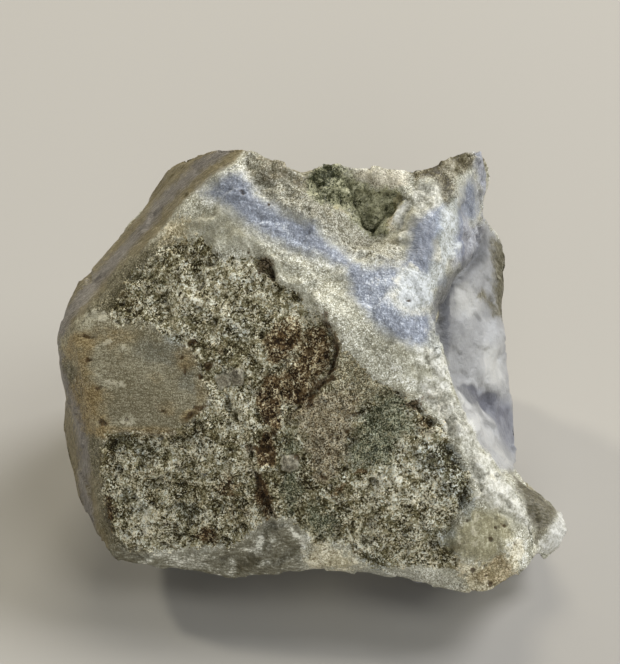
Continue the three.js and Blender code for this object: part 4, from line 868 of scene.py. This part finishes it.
agate = bpy.data.materials.new("agate")
g = Nodes(agate)

P0 = g.place()
n6 = g.noise(5.2, 2, 0.65)  # 0.2 mm
fine = g.noise(3.1, 3, 0.6, shift=1.3)  # 0.3 mm
small = g.noise(1.35, 3, 0.6, shift=3.1)  # 0.7 mm
middle = g.noise(0.55, 3, 0.55, shift=7.7)  # 2 mm
large = g.noise(0.16, 3, 0.5, shift=1.9)  # 6 mm


def around(x, k, base=0.0):
    """k times how far a noise is from its middle, plus base."""
    return g.mad(x, k, base - 0.5 * k) if isinstance(base, float) else g.add(g.mad(x, k, -0.5 * k), base)


def total(*terms):
    out = terms[0]
    for t in terms[1:]:
        out = g.add(out, t)
    return out


def parts(colour):
    n = g.node("ShaderNodeSeparateColor")
    g.put(n.inputs[0], colour)
    return n.outputs


def lean(grain, much):
    """Each grain is a little facet of its own: its normal leans its own way."""
    n = g.node("ShaderNodeVectorMath", operation="SUBTRACT")
    g.put(n.inputs[0], grain.outputs["Color"])
    n.inputs[1].default_value = (0.5, 0.5, 0.5)
    k = g.node("ShaderNodeVectorMath", operation="SCALE")
    g.put(k.inputs[0], n.outputs[0])
    g.put(k.inputs["Scale"], much)
    return k.outputs[0]


def summed(a, b):
    n = g.node("ShaderNodeVectorMath", operation="ADD")
    g.put(n.inputs[0], a)
    g.put(n.inputs[1], b)
    return n.outputs[0]


# grains with broken outlines, three sizes, each with its own colour and its own tilt
jumble = g.node("ShaderNodeTexNoise")
g.put(jumble.inputs["Vector"], P0)
jumble.inputs["Scale"].default_value = 1.7
jumble.inputs["Detail"].default_value = 2
stir = g.node("ShaderNodeVectorMath", operation="MULTIPLY_ADD")
g.put(stir.inputs[0], jumble.outputs["Color"])
stir.inputs[1].default_value = (1.1, 1.1, 1.1)
g.put(stir.inputs[2], P0)
stirred = stir.outputs[0]
big_grain = g.grains(0.95, where=stirred)
grain_1 = g.grains(2.0, where=stirred)
grain_2 = g.grains(3.7)
crisp = g.zone("crisp")
leaning = summed(summed(lean(big_grain, g.mul(crisp, 0.8)), lean(grain_1, crisp)), lean(grain_2, g.mul(crisp, 0.7)))
geo = g.node("ShaderNodeNewGeometry")
faced = g.node("ShaderNodeVectorMath", operation="NORMALIZE")
g.put(faced.inputs[0], summed(geo.outputs["Normal"], leaning))
big_c, big_k, _ = parts(big_grain.outputs["Color"])
one_r, one_g, one_b = parts(grain_1.outputs["Color"])
two_r, two_g, two_b = parts(grain_2.outputs["Color"])

# ragged borders: noise added to each marking's distance, mm
ragged = total(around(middle, 5.0), around(small, 3.4), around(fine, 1.8))
soft = total(around(middle, 4.0), around(small, 1.8), around(fine, 0.8))


def mask(name, a=-0.12, b=0.12, rag=None, amount=1.0):
    return g.step(g.mad(ragged if rag is None else rag, amount, g.zone(name)), a, b)


tone = g.zone("tone")
hue = g.zone("hue")
# painted shade and light: the colour mixtures below run darker in the lows and paler on the highs
painted_shade_and_light = g.mul(g.zone("lows_and_highs"), 0.3)

# thin healed cracks, cell walls of two sizes
wander = g.node("ShaderNodeVectorMath", operation="MULTIPLY_ADD")
g.put(wander.inputs[0], jumble.outputs["Color"])
wander.inputs[1].default_value = (1.7, 1.7, 1.7)
g.put(wander.inputs[2], P0)
wall_1 = g.grains(0.42, where=wander.outputs[0], feature="DISTANCE_TO_EDGE").outputs["Distance"]
wall_2 = g.grains(1.05, where=wander.outputs[0], feature="DISTANCE_TO_EDGE").outputs["Distance"]
healed = g.math("MAXIMUM", g.mul(g.step(wall_1, 0.030, 0.004), g.step(middle, 0.44, 0.56)), g.mul(g.step(wall_2, 0.055, 0.008), g.mul(g.step(small, 0.48, 0.60), 0.8)))

# the mixtures of noise the colours are read off
speck = g.mul(total(around(one_r, 0.42), around(two_g, 0.70), around(n6, 2.6), around(fine, 1.1)), g.mad(big_k, 1.1, 0.46))
salt = total(around(big_c, 0.30, 0.66), speck, g.mul(grain_1.outputs["Distance"], -0.30), around(small, 0.60), around(middle, 0.75), around(large, 0.7), painted_shade_and_light)
salt_t = g.add(salt, tone)
quiet = total(around(salt, 0.52, 0.5), around(n6, 2.9), tone)
strokes = g.noise(1.0, 2, 0.6, where=g.moved((3.4, 1.3, 1.3), (0.35, 0.6, 0.75)), shift=5.0)
rough_sugar = total(around(n6, 3.3), around(fine, 1.0), around(strokes, 0.7), around(one_g, 0.14), around(two_r, 0.36))
sugar = total(g.mul(rough_sugar, g.mad(g.zone("calm"), -0.62, 1.0)), around(small, 0.30, 0.5), around(middle, 0.38), around(large, 0.35), g.mul(painted_shade_and_light, 1.3))
sugar_t = g.add(sugar, tone)
fibre = g.noise(1.0, 3, 0.6, where=g.moved((2.6, 1.2, 0.7), (0.3, 0.2, 0.15)), shift=9.0)
cloud = total(around(fibre, 0.75, 0.5), around(large, 0.5), around(small, 0.35), g.mul(total(around(n6, 1.0), around(fine, 0.8), around(two_b, 0.20), around(one_b, 0.12)), g.mad(g.zone("calm"), -0.6, 1.0)), painted_shade_and_light)
cloud_t = g.mad(tone, 0.9, cloud)
pale = total(around(fibre, 0.6, 0.5), around(small, 1.0), around(fine, 1.0), around(n6, 0.5), around(two_r, 0.26), around(one_g, 0.26), around(middle, 0.7), g.mul(painted_shade_and_light, 1.3), tone)

# chalcedony first, sugary, with paler healed cracks
col = g.tones(sugar_t, [(0.12, (124, 121, 103)), (0.30, (143, 140, 122)), (0.48, (160, 158, 140)), (0.64, (179, 177, 160)), (0.82, (205, 204, 188)), (1.0, (238, 238, 228))], gain=CREAM_GAIN)
col = g.mix(g.mul(healed, 0.45), col, lin((226, 226, 214), CREAM_GAIN))
col = g.mix(mask("above", amount=0.6), col, g.tones(sugar_t, [(0.08, (98, 92, 70)), (0.28, (126, 122, 102)), (0.46, (148, 144, 125)), (0.64, (170, 167, 149)), (0.82, (196, 194, 178)), (1.0, (226, 224, 210))], gain=ABOVE_GAIN))

# the strips, sides and back: the vein's layers edge on
layer = g.zone("deep")
hair = g.noise(1.0, 3, 0.6, where=g.moved((0.55, 3.4, 0.9), (0.5, 0.25, 0.9)), shift=4.0)
lay = total(around(hair, 1.9, 0.5), around(small, 0.5), around(n6, 1.1), around(fine, 0.7), around(large, 0.7), painted_shade_and_light)
bands = g.node("ShaderNodeTexNoise", noise_dimensions="1D")
g.put(bands.inputs["W"], total(layer, around(middle, 1.6), around(small, 0.5)))
bands.inputs["Scale"].default_value = 1.3
bands.inputs["Detail"].default_value = 3
bands.inputs["Roughness"].default_value = 0.65
lace = total(around(bands.outputs["Fac"], 1.5, 0.5), around(small, 0.35), around(n6, 0.8), around(large, 0.5), painted_shade_and_light)
lj = total(layer, around(small, 2.0), around(middle, 2.5))
side_blue = g.tones(lace, [(0.1, (104, 106, 118)), (0.4, (132, 136, 150)), (0.6, (154, 159, 174)), (0.9, (198, 202, 210))], gain=SIDE_GAIN)
side_olive = g.tones(lace, [(0.1, (92, 84, 60)), (0.4, (118, 110, 84)), (0.6, (138, 130, 104)), (0.9, (168, 162, 138))], gain=SIDE_GAIN)
side = g.mix(g.mul(g.step(lj, 10.0, 11.6), g.step(lj, 16.0, 14.4)), side_olive, side_blue)
side = g.mix(g.step(lj, 20.5, 23.5), side, g.tones(g.add(lace, around(sugar, 0.5)), [(0.1, (132, 128, 108)), (0.4, (160, 157, 138)), (0.6, (184, 182, 165)), (0.9, (222, 221, 208))], gain=SIDE_GAIN))
side = g.mix(g.mul(g.step(lj, 26.0, 28.0), g.step(lj, 36.0, 34.0)), side, side_blue)
side = g.mix(g.step(lj, 37.5, 39.5), side, side_olive)
side = g.mix(g.mul(healed, 0.4), side, lin((214, 213, 202), SIDE_GAIN))
strip = total(g.zone("strip"), around(middle, 1.3), around(hair, 1.8))
streak = g.mul(g.mul(g.step(strip, 1.3, 2.3), g.step(strip, 3.9, 2.9)), 0.85)
front_side = g.mix(
    streak,
    g.tones(lay, [(0.05, (76, 68, 46)), (0.30, (96, 87, 62)), (0.5, (108, 99, 73)), (0.7, (121, 112, 87)), (0.98, (150, 142, 118))], gain=STRIP_GAIN),
    g.tones(lay, [(0.05, (84, 80, 78)), (0.30, (100, 96, 93)), (0.52, (113, 109, 106)), (0.75, (128, 124, 120)), (1.0, (150, 147, 142))], gain=STRIP_GAIN),
)
side = g.mix(g.step(g.zone("turned"), 0.35, 0.75), front_side, side)
col = g.mix(mask("strip", -0.2, 0.6, soft, 0.25), col, side)
col = g.mix(mask("tan", -0.5, 0.8, soft, 0.7), col, g.tones(g.add(around(sugar, 0.9, 0.5), tone), [(0.12, (52, 46, 24)), (0.34, (84, 78, 54)), (0.52, (104, 98, 74)), (0.70, (128, 122, 98)), (0.95, (168, 163, 142))], gain=TAN_GAIN))

# the blue chalcedony: fibrous across the vein, cloudy, paler at its borders
sparkle = g.step(total(around(small, 1.1, 0.5), around(fine, 1.0), around(n6, 0.5)), 0.68, 0.86)
col = g.mix(g.mul(mask("blue", -1.5, 0.3, soft, 0.6), 0.45), col, lin((184, 186, 185), BLUE_GAIN))
col = g.mix(g.mul(mask("blue", -0.5, 1.5, soft, 0.55), g.mad(sparkle, -0.5, 1.0)), col, g.tones(cloud_t, [(0.18, (108, 113, 124)), (0.36, (126, 131, 142)), (0.52, (141, 147, 159)), (0.68, (160, 167, 182)), (0.82, (194, 201, 213)), (1.0, (230, 234, 240))], gain=BLUE_GAIN))
col = g.mix(mask("violet", -0.7, 1.0, soft, 0.5), col, g.tones(cloud_t, [(0.2, (124, 125, 133)), (0.42, (146, 147, 154)), (0.58, (160, 162, 168)), (0.85, (198, 200, 204))], gain=BLUE_GAIN))
col = g.mix(mask("white", -0.5, 1.0, soft, 0.9), col, g.tones(pale, [(0.16, (150, 148, 134)), (0.34, (188, 186, 171)), (0.5, (210, 208, 194)), (0.68, (230, 229, 217)), (0.9, (250, 249, 240))], gain=WHITE_GAIN))
col = g.mix(mask("crest", -0.5, 0.6, soft, 0.5), col, g.tones(total(around(sugar, 1.1, 0.5), around(strokes, 0.6), tone), [(0.05, (66, 58, 34)), (0.30, (98, 91, 66)), (0.52, (127, 120, 95)), (0.70, (146, 139, 115)), (0.95, (196, 190, 168))], gain=ABOVE_GAIN))
col = g.mix(mask("cap", -0.5, 0.6, soft, 0.4), col, g.tones(total(around(sugar, 1.0, 0.5), tone), [(0.1, (118, 112, 94)), (0.35, (156, 150, 132)), (0.55, (174, 168, 150)), (0.85, (208, 203, 185))], gain=CAP_GAIN))
col = g.mix(mask("pit", -0.8, 0.5, ragged, 0.7), col, g.tones(g.add(around(salt, 0.74, 0.5), tone), [(0.02, (38, 40, 22)), (0.2, (72, 73, 51)), (0.38, (97, 97, 75)), (0.52, (111, 110, 88)), (0.68, (124, 123, 100)), (0.9, (146, 145, 121))], gain=PIT_GAIN))
drawn = g.noise(1.0, 3, 0.65, where=g.moved((0.8, 2.4, 2.8), (0.1, 0.2, 0.1)), shift=12.0)
col = g.mix(mask("grey", -0.7, 0.8, ragged, 0.6), col, g.tones(total(around(drawn, 1.7, 0.5), around(large, 0.6), around(small, 0.5), around(fine, 0.9), around(n6, 0.8), tone), [(0.05, (62, 58, 42)), (0.30, (86, 82, 66)), (0.48, (100, 97, 82)), (0.62, (116, 114, 100)), (0.78, (144, 142, 128)), (1.0, (206, 205, 194))], gain=GREY_GAIN))

# the plain polished-looking patch: fine scratches one way, grey and tan clouds
scratch = g.noise(1.0, 3, 0.6, where=g.moved((0.40, 3.4, 4.4)), shift=2.0)
window_t = total(around(scratch, 1.4, 0.5), around(n6, 2.5), around(fine, 0.55), g.mul(around(salt, 0.7), g.step(g.zone("window"), 2.0, 0.1)), around(two_g, 0.16), around(small, 0.3), around(large, 0.8), tone)
window_mask = mask("window", -0.7, 0.8, ragged, 0.55)
col = g.mix(window_mask, col, g.tones(window_t, [(0.12, (86, 79, 58)), (0.35, (106, 100, 79)), (0.5, (118, 112, 91)), (0.65, (131, 126, 105)), (0.9, (162, 158, 138))], gain=WINDOW_GAIN))

# the host rock and its patches
host_mask = mask("host", -0.10, 0.10, None, 0.75)
rock = g.tones(salt_t, [(0.0, (34, 28, 9)), (0.20, (64, 58, 34)), (0.36, (97, 92, 66)), (0.50, (122, 117, 91)), (0.66, (148, 144, 121)), (0.82, (184, 181, 164)), (1.0, (202, 200, 186))], gain=HOST_GAIN)
rock = g.mix(mask("fine", -1.2, 1.2, soft, 1.6), rock, g.tones(quiet, [(0.10, (66, 60, 40)), (0.35, (100, 95, 74)), (0.5, (122, 117, 95)), (0.65, (142, 137, 115)), (0.88, (180, 175, 153))], gain=HOST_GAIN))
rock = g.mix(mask("green", -1.4, 1.6, soft, 2.0), rock, g.tones(quiet, [(0.08, (36, 38, 21)), (0.30, (64, 67, 48)), (0.5, (88, 91, 72)), (0.68, (114, 116, 97)), (0.92, (154, 154, 134))], gain=HOST_GAIN))
rock = g.mix(mask("pink", -0.9, 0.9, soft, 1.5), rock, g.tones(quiet, [(0.06, (54, 44, 26)), (0.30, (90, 81, 61)), (0.5, (119, 111, 90)), (0.70, (144, 137, 116)), (0.95, (176, 169, 149))], gain=HOST_GAIN))
rock = g.mix(g.step(total(hue, around(small, 1.3), around(middle, 1.5)), 0.2, 0.8), rock, g.tones(salt_t, [(0.0, (28, 18, 6)), (0.24, (56, 42, 22)), (0.42, (88, 72, 48)), (0.58, (112, 100, 76)), (0.76, (146, 138, 115)), (1.0, (206, 200, 178))], gain=HOST_GAIN))
tinge = g.mix(g.mad(two_b, 0.7, g.mul(one_b, 0.3)), lin((255, 243, 222)), lin((238, 246, 255)))
rock = g.mix(0.75, rock, g.mix(1.0, rock, tinge, "MULTIPLY"))
col = g.mix(host_mask, col, rock)
col = g.mix(mask("waxy", -1.3, 1.1, soft, 1.1), col, g.tones(total(around(large, 0.9, 0.5), around(fibre, 1.2), around(fine, 1.0), around(n6, 0.9), around(two_r, 0.2), tone), [(0.1, (104, 99, 75)), (0.35, (130, 125, 99)), (0.52, (143, 138, 111)), (0.7, (158, 153, 125)), (0.95, (196, 193, 168))], gain=WAXY_GAIN))
col = g.mix(g.mul(mask("yellow", -0.8, 0.8, ragged, 0.9), 0.85), col, g.tones(g.add(around(salt, 0.8, 0.5), tone), [(0.04, (112, 100, 70)), (0.22, (150, 140, 108)), (0.42, (170, 161, 131)), (0.60, (196, 188, 160)), (0.80, (228, 222, 200))], gain=WAXY_GAIN))
stained = g.step(total(g.zone("stain"), around(middle, 1.1), around(small, 0.6), around(scratch, 0.9)), 0.10, 1.25)
col = g.mix(g.mul(stained, g.mad(host_mask, -0.45, 0.75)), col, g.tones(around(window_t, 1.0, 0.5), [(0.15, (84, 66, 34)), (0.5, (118, 98, 58)), (0.85, (152, 134, 94))], gain=WINDOW_GAIN))

# the hollow behind
rear_t = total(around(g.noise(0.32, 3, 0.5, shift=31.0), 0.35, 0.5), around(middle, 0.3), around(small, 0.12), around(fine, 0.1), tone)
col = g.mix(mask("rear", -0.4, 0.8, soft, 0.4), col, g.tones(rear_t, [(0.0, (112, 113, 118)), (0.22, (142, 142, 142)), (0.40, (158, 158, 158)), (0.56, (176, 176, 176)), (0.74, (195, 196, 197)), (0.95, (214, 214, 212))], gain=REAR_GAIN))
col = g.mix(mask("rear_dark", -0.8, 1.2, soft, 0.5), col, g.tones(rear_t, [(0.2, (118, 119, 128)), (0.5, (146, 148, 156)), (0.8, (168, 170, 178))], gain=REAR_GAIN))
col = g.mix(g.mul(mask("rear_white", -1.2, 2.0, soft, 0.5), 0.8), col, lin((202, 201, 196), REAR_GAIN))
col = g.mix(mask("rear_olive", -0.6, 0.8, soft, 0.6), col, g.tones(g.add(lay, tone), [(0.1, (76, 71, 53)), (0.35, (98, 93, 74)), (0.5, (112, 107, 88)), (0.7, (130, 125, 106)), (0.95, (168, 163, 146))], gain=REAR_GAIN))
col = g.mix(mask("foot_white", -0.5, 0.7, soft, 0.5), col, g.tones(pale, [(0.15, (186, 184, 172)), (0.5, (222, 221, 213)), (0.85, (244, 244, 238))], gain=REAR_GAIN))
# painted shade: dark grey under the horn
col = g.mix(g.mul(mask("under", -0.6, 0.9, soft, 0.3), 0.85), col, g.tones(rear_t, [(0.2, (84, 85, 88)), (0.5, (108, 109, 111)), (0.8, (136, 137, 138))], gain=REAR_GAIN))

# hue clumps: rust one way, blue-grey the other
rusty = g.step(total(hue, around(fine, 1.0), around(small, 1.6), around(middle, 1.2)), 0.35, 1.1)
col = g.mix(g.mul(rusty, 0.45), col, g.mix(1.0, col, lin((237, 217, 188), 1.0), "MULTIPLY"))
bluish = g.step(g.add(hue, around(small, 0.6)), -0.1, -0.7)
col = g.mix(g.mul(bluish, 0.6), col, g.mix(1.0, col, lin((226, 236, 255), 1.0), "MULTIPLY"))
# the dark marks in near black and dark brown; along the ledge and crevice lines this is painted shadow
col = g.mix(g.mul(mask("dark", -0.25, 0.45, ragged, 0.8), 0.8), col, g.mix(g.step(salt, 0.3, 0.8), lin((22, 14, 6), 1.2), lin((92, 72, 48), 1.4)))

# small things: rounded inclusions with pale rims, ringed by painted shadow; dark pits, which along the ledge and
# crevice lines add to the painted shadow there; and glints, partly painted highlights
dot = g.zone("dot")
# a dark ring round each rounded inclusion: painted shadow round its raised edge
col = g.mix(g.mul(g.mul(g.step(dot, -0.34, -0.14), g.step(dot, 0.04, -0.06)), g.step(middle, 0.40, 0.60, 0.25, 0.7)), col, lin((54, 52, 38), HOST_GAIN))
col = g.mix(g.mul(g.step(dot, -0.10, 0.10), 0.85), col, g.tones(around(salt, 0.55, 0.5), [(0.15, (86, 81, 68)), (0.5, (117, 112, 98)), (0.8, (146, 140, 126))], gain=HOST_GAIN))
col = g.mix(g.mul(g.mul(g.step(dot, -0.16, 0.0), g.step(dot, 0.34, 0.12)), g.step(small, 0.40, 0.62, 0.1, 0.6)), col, lin((172, 168, 152), HOST_GAIN))
# pits: dark brown, partly painted shadow where they line the ledge and crevice
col = g.mix(g.mul(mask("pits", -0.14, 0.12, ragged, 0.22), 0.85), col, g.mix(g.step(fine, 0.38, 0.60), lin((40, 29, 13), 1.2), lin((84, 64, 36), 1.3)))
# glints: pale specks, partly painted highlights
col = g.mix(g.mul(mask("glint", -0.16, 0.22, ragged, 0.5), 0.42), col, lin((206, 201, 180), 1.4))
# painted shade in the lows: dark brown where the surface lies below its surroundings, more on the host rock
col = g.mix(g.mul(g.step(painted_shade_and_light, -0.036, -0.135), g.blend(host_mask, 0.2, 0.5)), col, lin((44, 37, 20), 1.1))

shader = g.node("ShaderNodeBsdfPrincipled")
out = g.node("ShaderNodeOutputMaterial")
g.tree.links.new(shader.outputs[0], out.inputs["Surface"])
g.put(shader.inputs["Base Color"], col)
gloss = g.blend(host_mask, g.mad(small, 0.5, 0.14), 0.85)
gloss = g.blend(window_mask, gloss, g.mad(fine, 0.3, 0.42))
g.put(shader.inputs["Roughness"], gloss)
shader.inputs["IOR"].default_value = 1.5
shader.inputs["Specular IOR Level"].default_value = 0.3
bump = g.node("ShaderNodeBump")
bump.inputs["Strength"].default_value = 1.0
bump.inputs["Distance"].default_value = 0.00030
g.put(bump.inputs["Height"], total(g.mul(small, 0.8), g.mul(fine, g.mad(crisp, 0.65, 0.25)), g.mul(g.math("MULTIPLY", hair, g.zone("fibrous")), 0.6)))
g.put(bump.inputs["Normal"], faced.outputs[0])
g.put(shader.inputs["Normal"], bump.outputs[0])
mesh.materials.append(agate)

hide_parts("agate_stone")
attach(stone, "root")

# ---------------------------------------------------------------- floor, light and camera
floor_mesh = bpy.data.meshes.new("floor")
floor_mesh.from_pydata([(-30, -30, 0), (30, -30, 0), (30, 30, 0), (-30, 30, 0)], [], [(0, 1, 2, 3)])
floor = bpy.data.objects.new("floor", floor_mesh)
floor.location.z = -0.00002
bpy.context.scene.collection.objects.link(floor)
paper = bpy.data.materials.new("floor")
p = Nodes(paper)
ps = p.node("ShaderNodeBsdfPrincipled")
po = p.node("ShaderNodeOutputMaterial")
p.tree.links.new(ps.outputs[0], po.inputs["Surface"])
ps.inputs["Base Color"].default_value = (0.425, 0.410, 0.383, 1.0)
ps.inputs["Roughness"].default_value = 0.9
ps.inputs["Specular IOR Level"].default_value = 0.1
floor_mesh.materials.append(paper)
floor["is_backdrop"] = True


def area(name, at, look, size, watts, colour):
    data = bpy.data.lights.new(name, "AREA")
    data.shape = "RECTANGLE"
    data.size, data.size_y = size
    data.energy = watts
    data.color = colour
    lamp = bpy.data.objects.new(name, data)
    lamp.location = at
    lamp.visible_camera = False
    lamp.rotation_mode = "QUATERNION"
    lamp.rotation_quaternion = Vector([b - a for a, b in zip(at, look)]).to_track_quat("-Z", "Y")
    bpy.context.scene.collection.objects.link(lamp)
    return lamp


def around_stone(azimuth, height, distance=3.0):
    a, e = math.radians(azimuth), math.radians(height)
    return (math.cos(a) * math.cos(e) * distance, math.sin(a) * math.cos(e) * distance, math.sin(e) * distance)


area("key", around_stone(30, 46), (0, 0, 0), (1.1, 1.1), 65.8, (0.98, 0.98, 1.0))
area("low_right", around_stone(0, 30), (0, 0, 0), (1.1, 1.1), 12.6, (0.88, 0.94, 1.0))
area("right", around_stone(-30, 50), (0, 0, 0), (1.25, 1.25), 21.0, (1.0, 1.0, 0.96))
area("back", around_stone(90, 50), (0, 0, 0), (1.25, 1.25), 33.6, (1.0, 0.92, 0.74))
area("second", around_stone(150, 40), (0, 0, 0), (0.3, 0.3), 25.9, (1.0, 0.95, 0.80))
area("front", around_stone(-95, 18), (0, 0, 0), (1.25, 1.25), 25.2, (0.98, 0.99, 1.0))
world = bpy.data.worlds.new("room")
bpy.context.scene.world = world
world.use_nodes = True
sky = world.node_tree.nodes["Background"]
sky.inputs[0].default_value = lin((226, 224, 214))
seen = world.node_tree.nodes.new("ShaderNodeLightPath")
dim = world.node_tree.nodes.new("ShaderNodeMapRange")
dim.inputs["To Min"].default_value = 0.07
dim.inputs["To Max"].default_value = 0.75
world.node_tree.links.new(seen.outputs["Is Camera Ray"], dim.inputs["Value"])
world.node_tree.links.new(dim.outputs["Result"], sky.inputs[1])
bpy.context.scene.view_settings.view_transform = "Standard"
bpy.context.scene.view_settings.look = "None"

lens = bpy.data.cameras.new("camera")
camera = bpy.data.objects.new("camera", lens)
bpy.context.scene.collection.objects.link(camera)
bpy.context.scene.camera = camera
lens.sensor_width = 36.0
lens.lens = 36.0 * (LIE_REACH / LIE_SCALE) / 664.0
lens.clip_start, lens.clip_end = 0.01, 100
eye = np.array([0.0, -LIE_REACH * CE, LIE_HEIGHT + LIE_REACH * SE]) - SHIFT
camera.location = tuple(eye / UNIT)
camera.rotation_mode = "XYZ"
camera.rotation_euler = (math.radians(90) - LIE_TILT, 0, 0)

a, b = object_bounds()
